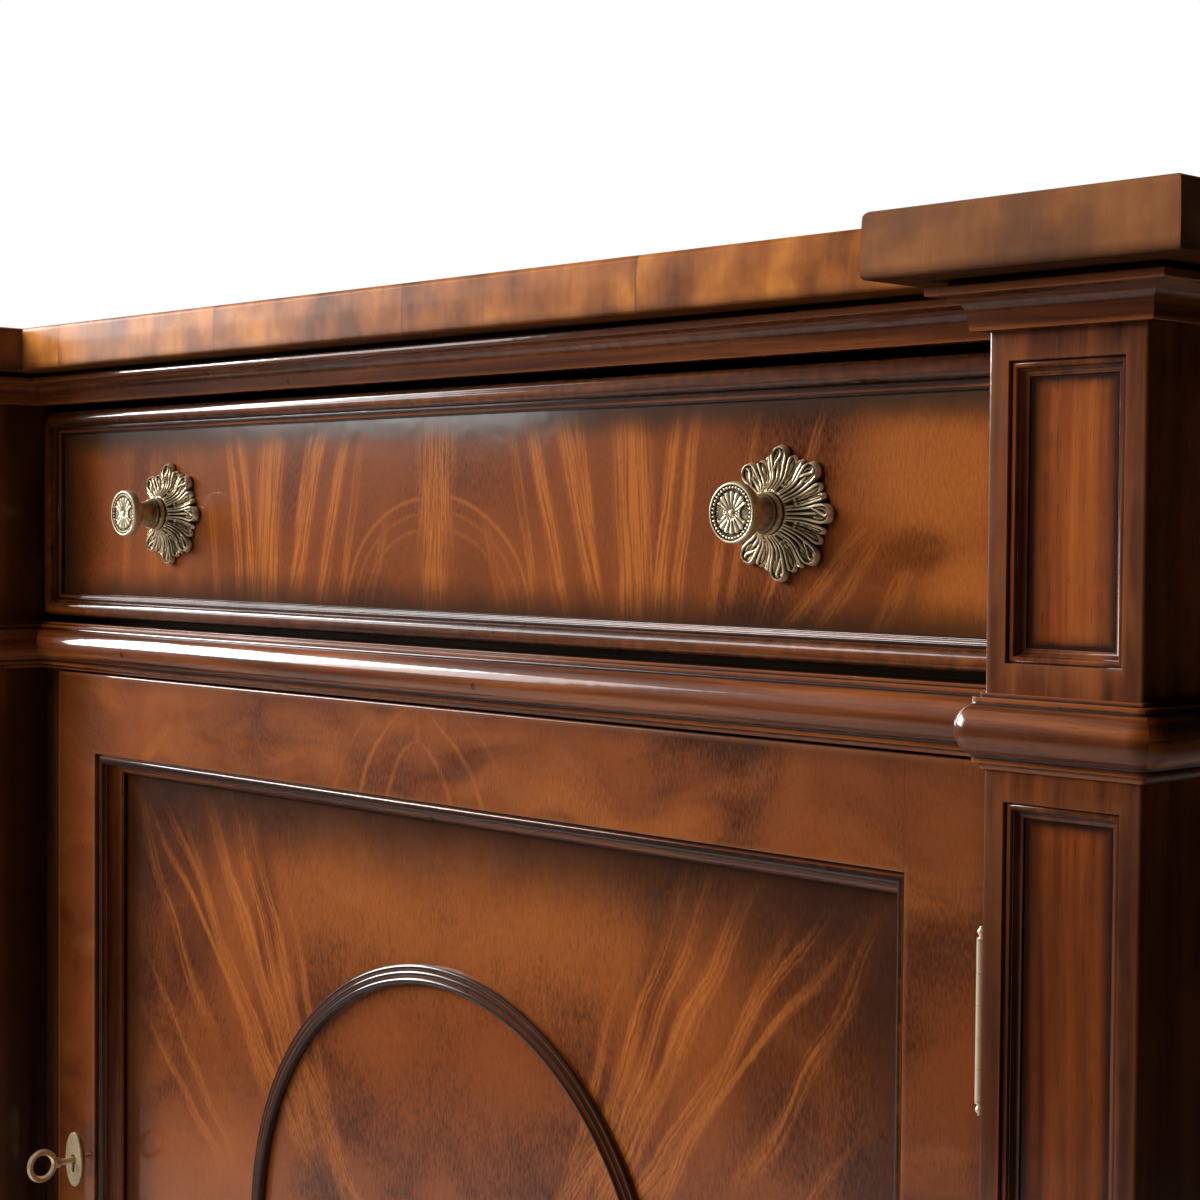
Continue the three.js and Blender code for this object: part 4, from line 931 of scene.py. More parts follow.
def stirred(tree, space, fine, wide):
    """Coordinates with their edges ruffled, so that streaks look grown and not drawn."""
    small = put(tree, "ShaderNodeTexNoise", {"Vector": vector(tree, "MULTIPLY", space, (260, 260, 45)),
                                             "Scale": 1.0, "Detail": 3.0}).outputs["Color"]
    large = put(tree, "ShaderNodeTexNoise", {"Vector": space, "Scale": 16.0, "Detail": 1.0}).outputs["Color"]
    moved = vector(tree, "MULTIPLY_ADD", small, (fine * 2,) * 3, space)
    moved = vector(tree, "MULTIPLY_ADD", large, (wide * 2,) * 3, moved)
    moved = vector(tree, "SUBTRACT", moved, (fine + wide,) * 3)
    return put(tree, "ShaderNodeSeparateXYZ", {0: moved}).outputs


drawer_finish, tree = new_finish("drawer_flame_veneer")
space, spot = coordinates(tree)
look = grain(tree, joined(tree, spot["Z"], spot["X"]))
ruffled = stirred(tree, space, 0.0009, 0.003)
x, z = ruffled["X"], ruffled["Z"]
fold = unsigned(tree, minus(tree, x, 0.002))
light = streaks(tree, fold, z, [
    (0, 740, 0, 822, 0, 11, 0.85), (0, 780, 0, 880, 0, 17, 0.85), (99, 745, 66, 868, 3, 6, 0.9),
    (122, 752, 88, 870, 3, 7, 1.1), (119, 790, 104, 868, 0, 4, 0.9), (78, 750, 57, 850, 2, 4, 0.6),
    (149, 735, 141, 875, 2, 13, 1.2), (163, 745, 180, 872, -2, 5, 1.0), (175, 748, 190, 862, -2, 4.5, 0.85),
    (197, 750, 205, 812, 0, 4, 0.5), (54, 748, 40, 800, 0, 4, 0.35)])
ends = streaks(tree, x, z, [
    (208, 750, 231, 862, 0, 3.5, 0.4), (227, 750, 272, 862, 2, 4, 0.45), (240, 748, 292, 800, 4, 6, 0.6),
    (262, 750, 300, 800, 4, 5, 0.5), (294, 748, 315, 784, 0, 7, 0.55), (-232, 745, -236, 862, 0, 7, 0.35),
    (-266, 745, -262, 862, 0, 8, 0.35), (-296, 745, -290, 862, 0, 6, 0.3)])
light = most(tree, light, ends, patches(tree, x, z, ((0.62, 328, 826, 62, 62), (0.62, 345, 765, 40, 36))))
far = length_of(tree, joined(tree, minus(tree, fold, 0.008), minus(tree, z, 0.742)))
for radius, strength in ((0.067, 0.55), (0.0595, 0.25), (0.051, 0.3)):
    near = unsigned(tree, minus(tree, far, radius))
    arch = span(tree, near, 0.0017, 0.0003, strength)
    light = most(tree, light, arch)
# The patch at x -352 is painted shade at the drawer's left end; the others are dark figure.
dark = patches(tree, x, z, ((0.55, 318, 787, 24, 13), (0.75, -352, 800, 42, 70), (0.3, 36, 770, 24, 26)))
mottle = warped_noise(tree, space, (9, 9, 7), 0.06)
body = flame_colour(tree, space, light, mottle, look, dark)
DRAWER_MIDDLE = 801
low = minus(tree, spot["Z"], DRAWER_MIDDLE * MM)
rim = edge_distance(tree, spot["X"], low, 0.3677, 0.0498)
rim = scaled(tree, speckle(tree, space, 40.0, 3.0), 0.014, minus(tree, rim, 0.007))
shade = span(tree, rim, 0.02, 0.0, 0.8, soft=True)
body = blend(tree, shade, body, (0.028, 0.012, 0.007))
under_top = scaled(tree, mottle, 0.012, spot["Z"])
shade = span(tree, under_top, 0.842, 0.858, 0.7, soft=True)
body = blend(tree, shade, body, (0.06, 0.036, 0.026))
shade = span(tree, scaled(tree, mottle, 0.03, spot["X"]), -0.315, -0.355, 0.8, soft=True)
body = blend(tree, shade, body, (0.03, 0.012, 0.006))
lacquered(tree, body, look["Pores"], coat=0.1, wave_strength=0.1, sheen=0.015)
dress(drawer_finish, "drawer_front")
dress(inside_finish, "drawer_side_left", "drawer_side_right", "drawer_back", "drawer_bottom")


def upright_frame(name, section, half_x, low, high, y):
    """A moulding round the inside of an upright rectangle, its section given inwards and forwards."""
    corners = [(half_x, 0, high), (-half_x, 0, high), (-half_x, 0, low), (half_x, 0, low)]
    return moulding(name, section, corners, run_finish, -y, closed=True, rise=(0, -1, 0),
                    outwards=lambda d: Vector((d.z, 0, -d.x)) * -1)


DRAWER_X, DRAWER_LOW, DRAWER_HIGH, DRAWER_FACE = 381.7, 737.25, 864.75, -150
drawer_section = drawn([(0, 0.1), (0, 4.6), (4.6, 4.6, 4.6, 3.2, 180, 0), (9.2, 2.6), (9.9, 2.6),
                        (9.9, 3.6), (11.3, 3.4), (11.6, 2.2), (12.9, 2.0), (13.2, 1.2), (14, 1.2),
                        (14, 0.1), (0, 0.1)], steps=14, ease=0.3)
made = upright_frame("drawer_bead_frame", drawer_section, DRAWER_X, DRAWER_LOW, DRAWER_HIGH, DRAWER_FACE)
fit(made, "drawer", "solid_mahogany", "drawer_moulding")

# ---------------------------------------------------------------- knobs
# Cast and turned brass with an antique finish: a drum with a dished face on a short neck, its face
# with two shells, a boss and a ring of beads. The rosette behind has eight curled leaves.
def brass(name, cast):
    """Antique brass: dark in the hollows of a casting, brighter where hands have rubbed it and where the
    crests hold a painted highlight.
    """
    material, tree = new_finish(name)
    space = coordinates(tree)[0]
    relief = painted(tree, "crest") if cast else 0.62
    grime = speckle(tree, space, 420.0, 4.0)
    worn = scaled(tree, grime, 0.3, minus(tree, relief, 0.15))
    body = tones(tree, worn, (0.2, (0.035, 0.02, 0.009)), (0.38, (0.2, 0.13, 0.06)),
                 (0.55, (0.56, 0.42, 0.22)), (0.8, (0.92, 0.75, 0.5)))
    bumped = put(tree, "ShaderNodeBump", {"Height": grime, "Strength": 0.3, "Distance": 0.0001}).outputs[0]
    shaded(tree, {"Base Color": body, "Roughness": span(tree, worn, 0.25, 0.8, 0.3, 0.55),
                  "Metallic": span(tree, worn, 0.2, 0.45, 0.55, 0.2), "Specular IOR Level": 0.35,
                  "Normal": bumped})
    return material


brass_finish, plain_brass = brass("antique_brass", True), brass("rubbed_brass", False)


def turned(profile, sides, crest_of):
    """Points, faces and crests of a turned solid: radius and reach forwards in mm, from the back's axis
    point to the front's. Its axis points at -y."""
    points, crests = [], []
    for (radius, reach), value in zip(profile, crest_of):
        for i in range(sides):
            a = 2 * math.pi * i / sides
            points.append(Vector((radius * math.sin(a), -reach, radius * math.cos(a))))
            crests.append(value)
    return points, strips(range(0, len(points), sides), sides), crests


def bump(t):
    """Height of a half round, by the share of its half width."""
    return math.sqrt(max(0.0, 1 - t * t))


def smooth(a, b, x):
    """0 below a, 1 above b and an easy curve between them."""
    t = max(0.0, min(1.0, (x - a) / (b - a)))
    return t * t * (3 - 2 * t)


LEAVES, HUB = 8, 9.4
# Lines of metal on one leaf: points across, outwards and half width in mm, from the hub to the tip.
LEAF_LINES = (
    (1.3, [(1.6, 8.5, 0.55), (1.9, 13, 0.65), (2.6, 17.5, 0.75), (3.4, 21.5, 0.8), (4.0, 24.8, 0.85),
           (3.8, 27.2, 0.9), (2.2, 28.9, 0.95), (0, 29.2, 0.95)]),
    (1.0, [(0, 8.5, 0.5), (0, 14, 0.65), (0, 19, 0.6), (0, 22.2, 0.3)]),
    (1.15, [(2.7, 9.0, 0.4), (3.2, 13, 0.6), (4.3, 17, 0.7), (5.4, 20.6, 0.75), (6.1, 23.4, 0.75),
            (6.9, 25.1, 0.75), (7.9, 25.0, 0.75), (8.7, 23.5, 0.7), (8.5, 21.2, 0.65), (7.4, 18.4, 0.6),
            (6.1, 15.7, 0.55), (5.2, 13.9, 0.5), (4.9, 12.4, 0.45), (4.2, 11.8, 0.4), (3.9, 12.6, 0.3)]),
    (0.75, [(4.4, 13.6, 0.3), (5.4, 17, 0.5), (6.7, 20.4, 0.55), (7.4, 22.8, 0.4)]),
    (0.6, [(1.7, 20.6, 0.25), (2.3, 23.2, 0.45), (2.2, 25.4, 0.3)]))
# One more line curls over the leaf's tip, so it isn't the same on both sides.
LEAF_CURL = (1.0, [(-2.2, 19.6, 0.3), (-1.3, 22.4, 0.6), (0.1, 24.4, 0.8), (0.9, 26.2, 0.75),
                   (0.3, 27.6, 0.5)])


def softened(line):
    """The same line with its corners cut twice, so that it bends and doesn't kink."""
    for _ in range(2):
        cut = [line[0]]
        for a, b in zip(line, line[1:]):
            cut += [tuple(p + (q - p) * t for p, q in zip(a, b)) for t in (0.25, 0.75)]
        line = cut + [line[-1]]
    return line


def raised(x, y, height, line):
    """Height of one half-round line of metal at a point."""
    best = 0.0
    for (x0, y0, w0), (x1, y1, w1) in zip(line, line[1:]):
        if not (min(x0, x1) - 1 < x < max(x0, x1) + 1 and min(y0, y1) - 1 < y < max(y0, y1) + 1):
            continue
        dx, dy = x1 - x0, y1 - y0
        t = max(0.0, min(1.0, ((x - x0) * dx + (y - y0) * dy) / (dx * dx + dy * dy)))
        best = max(best, bump(min(1.0, math.hypot(x - x0 - dx * t, y - y0 - dy * t) / (w0 + (w1 - w0) * t))))
    return height * best


leaf_lines = [(height, softened(line)) for height, line in LEAF_LINES]
leaf_curl = (LEAF_CURL[0], softened(LEAF_CURL[1]))


def leaf_rim(w):
    """Radius of the rosette's edge: a round spoon at the leaf's tip with a leaflet on each side of it."""
    notch = rim = 22.6
    for middle, reach, tip in ((0.0, 0.46, 30.0), (0.735, 0.265, 26.4)):
        if abs(w - middle) < reach:
            rim = max(rim, notch + (tip - notch) * bump((w - middle) / reach) ** 0.8)
    return rim


def leaf_height(x, y):
    """Height of the rosette's face over the drawer front, in mm, across and out from the hub's axis."""
    r, w = math.hypot(x, y), abs(math.atan2(x, y)) / math.pi * LEAVES
    if w > 1:
        w, x = 2 - w, 0.77 * y - abs(x)
    ground = 2.0 + 8.2 * math.exp(-(max(0.0, r - HUB) / 5.0) ** 1.15)
    ground = ground + 1.6 * smooth(14, 23, r) * (1 - 0.5 * w * w)
    ground -= (1.0 * w * w + 1.5 * math.exp(-(((w - 1) / 0.1) ** 2))) * smooth(10.5, 15, r)
    ground -= 0.7 * math.exp(-((x / 2.4) ** 2) - ((y - 25.4) / 2.8) ** 2)
    ground -= 0.5 * math.exp(-(((abs(x) - 7.4) / 1.2) ** 2) - ((y - 22.6) / 2.0) ** 2)
    lines = max([raised(abs(x), y, height, line) for height, line in leaf_lines] + [raised(x, y, *leaf_curl)])
    return ground + lines * smooth(9.3, 11.0, r)


def rosette_mesh():
    """One leaf worked out as rows of points, then laid eight times round the hub."""
    half = [0.46 * math.sin(math.pi / 2 * t / 18) for t in range(19)]
    half += [0.735 - 0.265 * math.cos(math.pi * t / 20) for t in range(21)]
    shares = [-w for w in reversed(half[1:-1])] + half
    outwards, leaf = 64, []
    for k in range(outwards + 1):
        row = []
        for u in shares:
            angle, share = u * math.pi / LEAVES, k / outwards
            r = HUB + (leaf_rim(abs(u)) - HUB) * share
            x, y, edge = r * math.sin(angle), r * math.cos(angle), smooth(0.94, 1.0, share)
            h = leaf_height(x, y)
            near = sum(leaf_height(x + dx, y + dy)
                       for dx, dy in ((0.9, 0), (-0.9, 0), (0, 0.9), (0, -0.9))) / 4
            row.append((angle, r, max(0.8, h * (1 - 0.55 * edge)),
                        max(0.0, min(1.0, 0.49 + (h - near) * 0.9 - 0.2 * edge))))
        leaf.append(row)
    leaf.append([(angle, HUB + (r - HUB) * 0.98, -0.3, 0.05) for angle, r, h, value in leaf[-1]])
    leaf.append([(angle, HUB, -0.3, 0.05) for angle, r, h, value in leaf[-1]])
    points, crests = [], []
    for row in leaf:
        for turn in range(LEAVES):
            for angle, r, h, value in row:
                whole = angle + turn * 2 * math.pi / LEAVES
                points.append(Vector((r * math.sin(whole), -h, r * math.cos(whole))))
                crests.append(value)
    around = len(shares) * LEAVES
    return points, strips([*range(0, len(points), around), 0], around), crests


def shell_height(x, z):
    """Height of the knob's face over its dished ground: two ribbed shells that meet at a boss and curl
    round a stippled oval on each side."""
    r = math.hypot(x, z)
    side = math.hypot((abs(x) - 7.6) / 0.85, z)
    stipple = 0.35 * noise.noise(Vector((x * 3.4, z * 3.4, 4.0))) + 0.1
    edge = smooth(3.0, 3.6, side)
    angle = math.atan2(x, abs(z) + 0.25)
    phase = (angle / math.radians(21) + 0.5) % 1 - 0.5
    rib = 1 - abs(phase * 2) ** 1.8
    tip = 9.4 - 0.9 * (phase * 2) ** 2 - 0.9 * smooth(0.9, 1.4, abs(angle))
    shell = (0.55 + 1.3 * rib * smooth(0.8, 4.0, r)) * (1 - smooth(tip - 0.5, tip, r))
    shell *= 1 - 0.6 * math.exp(-((z / 0.45) ** 2)) * smooth(3, 4, r)
    curl = 1.3 * math.exp(-(((side - 3.9) / 0.45) ** 2)) * (1 - smooth(8.8, 9.4, r))
    return max(stipple * (1 - edge) + max(shell, curl) * edge, 2.7 * bump(min(1.0, r / 1.8)))


KNOB_SIDES, DISH = 160, 32.75


def knob_face():
    """The dished face of the drum as rings of points, from its rim inwards."""
    points, crests = [], []
    inwards = 44
    for k in range(inwards + 1):
        r = 9.7 * (1 - k / inwards) + 0.02
        for i in range(KNOB_SIDES):
            a = 2 * math.pi * i / KNOB_SIDES
            x, z = r * math.sin(a), r * math.cos(a)
            h = shell_height(x, z) * (1 - smooth(9.0, 9.6, r))
            near = sum(shell_height(x + dx, z + dz)
                       for dx, dz in ((0.5, 0), (-0.5, 0), (0, 0.5), (0, -0.5))) / 4
            points.append(Vector((x, -(DISH + h * 0.55), z)))
            crests.append(max(0.0, min(1.0, 0.26 + (h - near) * 1.6 + 0.36 * h)) if r < 9.6 else 0.05)
    return points, crests


def joined_up(tree, *parts):
    """Several pieces of geometry as one."""
    both = put(tree, "GeometryNodeJoinGeometry")
    for part in parts:
        tree.links.new(part, both.inputs[0])
    return both.outputs[0]


def bright_copies(tree, points, piece, crest):
    """The piece on every one of the points, with one value for its crests."""
    copies = put(tree, "GeometryNodeInstanceOnPoints", {"Points": points, "Instance": piece}).outputs[0]
    return then(tree, "StoreNamedAttribute", then(tree, "RealizeInstances", copies),
                {"Name": "crest", "Value": crest}, data_type="FLOAT", domain="POINT")


def bead_tree():
    """A ring of small beads round the knob's face."""
    tree, given = node_tree("bead ring", "Geometry", {
        "Face": "Geometry", "Beads": "Int", "Ring Radius": "Float", "Bead Radius": "Float",
        "Place": "Vector", "Finish": "Material"}, {"Geometry": "Geometry"})
    circle = put(tree, "GeometryNodeMeshCircle", {"Vertices": given["Beads"],
                                                  "Radius": given["Ring Radius"]}).outputs[0]
    upright = then(tree, "Transform", circle, {"Translation": given["Place"],
                                               "Rotation": (math.pi / 2, 0, 0)})
    bead = put(tree, "GeometryNodeMeshUVSphere", {"Segments": 12, "Rings": 8,
                                                  "Radius": given["Bead Radius"]}).outputs[0]
    beads = bright_copies(tree, upright, bead, 0.9)
    finished(tree, joined_up(tree, beads, given["Face"]), given["Finish"])
    return tree


bead_ring = bead_tree()


def knob_mesh():
    """The turned drum and neck, closed by the cast face."""
    profile = [(0.02, 10.9), (9.1, 10.9), (9.25, 11.6), (9.3, 12.4), (9.0, 13.4), (8.3, 13.9), (8.05, 14.6),
               (8.3, 14.9), (8.35, 15.3), (8.0, 15.7), (7.5, 17.0), (6.8, 20.0), (6.5, 23.0), (6.8, 25.3),
               (7.6, 26.4), (9.2, 26.8), (9.6, 27.5), (9.4, 28.1), (11.6, 28.3), (12.6, 28.6), (13.15, 29.2),
               (13.4, 30.2), (13.4, 31.8), (13.15, 33.0), (12.8, 33.7), (12.45, 33.95), (12.1, 33.85),
               (11.9, 33.4), (11.85, DISH), (9.72, DISH)]
    # Crests of the rings set the brass's wear; the neck and the rim's front lip are set high as a painted
    # highlight as well as wear.
    crest_of = [0.2, 0.35, 0.55, 0.65, 0.55, 0.3, 0.2, 0.5, 0.62, 0.4, 0.42, 0.55, 0.58, 0.5, 0.35, 0.55,
                0.66, 0.3, 0.42, 0.56, 0.64, 0.62, 0.6, 0.7, 0.95, 1.0, 0.85, 0.2, 0.02, 0.02]
    points, faces, crests = turned(profile, KNOB_SIDES, crest_of)
    last_ring = len(points) - KNOB_SIDES
    more, more_crests = knob_face()
    points, crests = points + more, crests + more_crests
    return points, faces + strips(range(last_ring, len(points), KNOB_SIDES), KNOB_SIDES), crests


def brass_piece(name, data, place):
    """A casting at its place on the drawer front."""
    points, faces, crests = data
    return tidy_up(skinned(name, [(p + place) * MM for p in points], faces, crests, brass_finish), 60)


KNOB_X = 243
rosette_data, knob_data = rosette_mesh(), knob_mesh()
for side, end in ((-1, "left"), (1, "right")):
    place = Vector((KNOB_X * side, DRAWER_FACE, DRAWER_MIDDLE))
    made = brass_piece("leaf_rosette_" + end, rosette_data, place)
    fit(made, "drawer", "brass", "rosette_" + end)
    made = brass_piece("turned_knob_" + end, knob_data, place)
    settle(made, bead_ring, {"Beads": 38, "Ring Radius": 10.85 * MM, "Bead Radius": 0.66 * MM,
                             "Place": (place + Vector((0, -33.15, 0))) * MM, "Finish": brass_finish})
    fit(made, "drawer", "brass", "knob_" + end)

steel_finish, tree = new_finish("plain_steel")
scuffs = stretched(tree, coordinates(tree)[0], (900, 120, 120), 4.0)
body = tones(tree, scuffs, (0.3, (0.24, 0.23, 0.21)), (0.7, (0.5, 0.49, 0.46)))
shaded(tree, {"Base Color": body, "Roughness": span(tree, scuffs, 0.3, 0.7, 0.32, 0.5), "Metallic": 1.0})
dress(steel_finish, "knob_screw_left", "knob_screw_right", "lock_case", "lock_bolt")

# ---------------------------------------------------------------- door frame
# Stiles and rails faced with curly crotch veneer that runs over their joints. They butt together
# with a line of glue, and their arrises are rounded on the outside and round the recess.
frame_finish, tree = new_finish("door_frame_veneer")
space, spot = coordinates(tree)
look = grain(tree, joined(tree, spot["Z"], spot["X"]))
crest = painted(tree, "crest")
mottle = warped_noise(tree, space, (11, 9, 15), 0.15, 5.0)
ruffled = stirred(tree, space, 0.001, 0.006)
x, z = ruffled["X"], ruffled["Z"]
fold = unsigned(tree, x)
DOOR_MIDDLE = 398.3
drop = minus(tree, 0.3017, unsigned(tree, minus(tree, z, DOOR_MIDDLE * MM)))
light = None
for share, start, strength in ((7.2, 0.0, 0.5), (4.9, 0.017, 0.35), (9.5, -0.012, 0.25)):
    curve = times(tree, sum_of(tree, "SQRT", most(tree, minus(tree, drop, start), 0.0)), share * 0.032)
    off = unsigned(tree, minus(tree, fold, curve))
    leaf = span(tree, off, 0.0028, 0.0004, strength)
    light = leaf if light is None else most(tree, light, leaf)
band_light = span(tree, warped_noise(tree, space, (9, 12, 30), 0.12, 5.0), 0.46, 0.72, 0.42, soft=True)
light = most(tree, light, band_light)
band_dark = span(tree, warped_noise(tree, space, (7, 9, 40), 0.1, 5.0), 0.46, 0.3, 0.5, soft=True)
body = flame_colour(tree, space, light, mottle, look, band_dark)
low = minus(tree, spot["Z"], DOOR_MIDDLE * MM)
rim = edge_distance(tree, spot["X"], low, 0.3614, 0.3043)
shade = span(tree, rim, 0.012, 0.0, 0.35, soft=True)
body = blend(tree, shade, body, (0.03, 0.01, 0.004))
# Painted shade: the frame darker towards its right side, where the light falls off.
right = span(tree, spot["X"], 0.15, 0.34, 0.35)
body = blend(tree, right, body, (0.085, 0.022, 0.006))
# Painted shadow of the left post on the frame's left side.
left = span(tree, spot["X"], -0.29, -0.34, 0.5, soft=True)
body = blend(tree, left, body, (0.05, 0.011, 0.001))
# Arrises rubbed lighter with a painted highlight; the recess walls get glaze with painted shade.
rubbed_and_highlight = span(tree, crest, 0.62, 0.9, 0.5)
body = blend(tree, rubbed_and_highlight, body, (0.26, 0.1, 0.04))
glaze_and_shade = span(tree, crest, 0.3, 0.1, 0.9)
body = blend(tree, glaze_and_shade, body, GLAZE_AND_SHADE)
lacquered(tree, body, look["Pores"])

DOOR_X, DOOR_LOW, DOOR_HIGH, DOOR_FRONT, DOOR_BACK = 361.4, 94.0, 702.6, -157.8, -135.8
RECESS_X, RECESS_LOW, RECESS_HIGH = 317.9, 143.0, 653.6


def door_ring():
    """The whole frame as one ring, from the back's outer edge over the face to the back's inner edge."""
    shape = [(DOOR_X, DOOR_LOW, DOOR_HIGH, DOOR_BACK, 0.4)]
    for inset, depth in eased_rings(0.9):
        shape.append((DOOR_X - inset, DOOR_LOW + inset, DOOR_HIGH - inset, DOOR_FRONT + depth, 0.85))
    shape.append((DOOR_X - 4, DOOR_LOW + 4, DOOR_HIGH - 4, DOOR_FRONT, 0.5))
    shape.append((RECESS_X + 4, RECESS_LOW - 4, RECESS_HIGH + 4, DOOR_FRONT, 0.5))
    for inset, depth in reversed(eased_rings(0.9)):
        shape.append((RECESS_X + inset, RECESS_LOW - inset, RECESS_HIGH + inset, DOOR_FRONT + depth,
                      0.85))
    shape.append((RECESS_X, RECESS_LOW, RECESS_HIGH, DOOR_FRONT + 2.2, 0.2))
    shape.append((RECESS_X, RECESS_LOW, RECESS_HIGH, DOOR_BACK, 0.1))
    points, crests = [], []
    for x, low_z, high_z, y, value in shape:
        points += [Vector(p) * MM for p in ((-x, y, low_z), (x, y, low_z), (x, y, high_z), (-x, y, high_z))]
        crests += [value] * 4
    return points, strips([*range(0, len(points), 4), 0], 4), crests


def door_member(name, node, cuts):
    """A length of that ring, cut off by planes: each is a place and the side that falls away."""
    made = skinned(name, *door_ring(), frame_finish)
    bm = bmesh.new()
    bm.from_mesh(made.data)
    for place, normal in cuts:
        bmesh.ops.bisect_plane(bm, geom=bm.verts[:] + bm.edges[:] + bm.faces[:], plane_co=Vector(place) * MM,
                               plane_no=normal, clear_outer=True)
    bm.to_mesh(made.data)
    bm.free()
    fit(tidy_up(made), "door", "flame_mahogany", node)


door_member("stile_free_side", "door_stile_left", [((-RECESS_X, 0, 0), (1, 0, 0))])
door_member("stile_hinge_side", "door_stile_right", [((RECESS_X, 0, 0), (-1, 0, 0))])
# Width of the joint line beside each end of a rail, in mm.
GLUE = 0.1
for node, place, normal in (("door_rail_top", RECESS_HIGH, (0, 0, -1)),
                            ("door_rail_bottom", RECESS_LOW, (0, 0, 1))):
    door_member(node + "_faced", node, [((-RECESS_X + GLUE, 0, 0), (-1, 0, 0)),
                                        ((RECESS_X - GLUE, 0, 0), (1, 0, 0)), ((0, 0, place), normal)])

# ---------------------------------------------------------------- door panel
# A flat board faced with four matched leaves of flame veneer, their plumes running from the middle
# to the corners. A small moulding holds it in the frame, and a ring of three beads is planted on it.
panel_finish, tree = new_finish("door_panel_veneer")
space, spot = coordinates(tree)
low = minus(tree, spot["Z"], DOOR_MIDDLE * MM)
fold_x = unsigned(tree, spot["X"])
fold_z = unsigned(tree, low)
folded = joined(tree, fold_x, 0.0, fold_z)
look = grain(tree, joined(tree, fold_z, fold_x))
ruffled = stirred(tree, folded, 0.0012, 0.008)
x, z = ruffled["X"], ruffled["Z"]
light = streaks(tree, x, z, [
    (100, 40, 184, 250, -3, 6, 0.6), (108, 42, 203, 255, -3, 6, 0.65), (112, 42, 231, 255, -4, 8, 0.75),
    (118, 42, 283, 250, -6, 5, 0.65), (122, 42, 300, 240, -8, 5, 0.55), (150, 64, 250, 235, 3, 7, 0.6),
    (215, 100, 300, 240, 4, 7, 0.5), (60, 10, 160, 150, 0, 14, 0.5), (85, 50, 150, 215, 0, 5, 0.4),
    (20, 0, 130, 70, 0, 10, 0.4), (205, 20, 296, 106, -6, 6, 0.4), (190, 20, 290, 140, -6, 5, 0.35)])
light = most(tree, light, patches(tree, x, z, ((0.3, 60, 200, 150, 70),)))
dark = patches(tree, x, z, ((0.85, 262, 205, 80, 62), (0.7, 236, 150, 46, 46), (0.6, 160, 175, 18, 70)))
dark = times(tree, dark, minus(tree, 1.0, light))
mottle = warped_noise(tree, folded, (8, 8, 10), 0.12, 4.0)
body = flame_colour(tree, space, light, mottle, look, dark)
rim = edge_distance(tree, spot["X"], low, 0.3059, 0.2433)
rim = scaled(tree, speckle(tree, space, 22.0, 3.0), 0.03, minus(tree, rim, 0.015))
shade = span(tree, rim, 0.05, 0.0, 0.78, soft=True)
body = blend(tree, shade, body, (0.022, 0.008, 0.004))
lacquered(tree, body, look["Pores"])
dress(panel_finish, "door_panel")

door_section = drawn([(0.1, 0.1), (0.1, 13.4), (0.9, 13.4), (3.3, 12.2, 2.4, 1.9, 170, 0), (5.9, 11.2),
                      (6.4, 11.2), (10.8, 11.2, 4.4, 8.0, 180, 270), (10.8, 2.3), (12, 2.3), (12, 0.1),
                      (0.1, 0.1)], steps=12, ease=0.3)
PANEL_FACE = -141.8
made = upright_frame("door_recess_moulding", door_section, RECESS_X, RECESS_LOW, RECESS_HIGH, PANEL_FACE)
fit(made, "door", "solid_mahogany", "door_panel_moulding")


def ring_tree():
    """Carries a section round a circle."""
    tree, given = node_tree("ring moulding", "Geometry", {
        "Section": "Geometry", "Radius": "Float", "Steps": "Int", "Section Points": "Int",
        "Place": "Vector", "Finish": "Material"}, {"Geometry": "Geometry"})
    grid, step, place = rows_of(tree, sum_of(tree, "ADD", given["Steps"], 1.0), given["Section Points"])
    section = given["Section"]
    shape = put(tree, "ShaderNodeSeparateXYZ",
                {0: taken(tree, section, "position", "FLOAT_VECTOR", place)}).outputs
    turn = sum_of(tree, "DIVIDE", times(tree, step, 2 * math.pi), given["Steps"])
    radius = minus(tree, given["Radius"], shape["X"])
    spot = joined(tree, times(tree, radius, sum_of(tree, "SINE", turn)), times(tree, shape["Y"], -1.0),
                  times(tree, radius, sum_of(tree, "COSINE", turn)))
    surfaced(tree, grid, vector(tree, "ADD", spot, given["Place"]), times(tree, turn, given["Radius"]),
             taken(tree, section, "length", "FLOAT", place),
             taken(tree, section, "crest", "FLOAT", place), given["Finish"])
    return tree


ring_section = drawn([(0, 0.1), (0, 2.2), (1.5, 2.2, 1.5, 1.1, 180, 0), (3.1, 2.2),
                      (4.7, 2.9, 1.6, 1.2, 190, 0), (6.4, 2.9), (8.2, 3.2, 1.8, 1.8, 190, 0), (10, 0.1),
                      (0, 0.1)], steps=10, ease=0.2)
made = section_piece("panel_ring", ring_section)
settle(made, ring_tree(), {"Radius": 168 * MM, "Steps": 192, "Section Points": len(ring_section[0]),
                           "Place": (0, PANEL_FACE * MM, DOOR_MIDDLE * MM), "Finish": run_finish})
fit(tidy_up(made), "door", "solid_mahogany", "door_ring_moulding")

# ---------------------------------------------------------------- hinges
# Brass hinges with slim barrels that stand proud of the door, so that it clears the post. Five
# knuckles turn on a pin with a ball finial at each end; the leaves lie in the gap beside the door.
HINGE_X, HINGE_Y, BARREL, LENGTH, KNUCKLES = 362.8, -164.3, 1.85, 64.0, 5


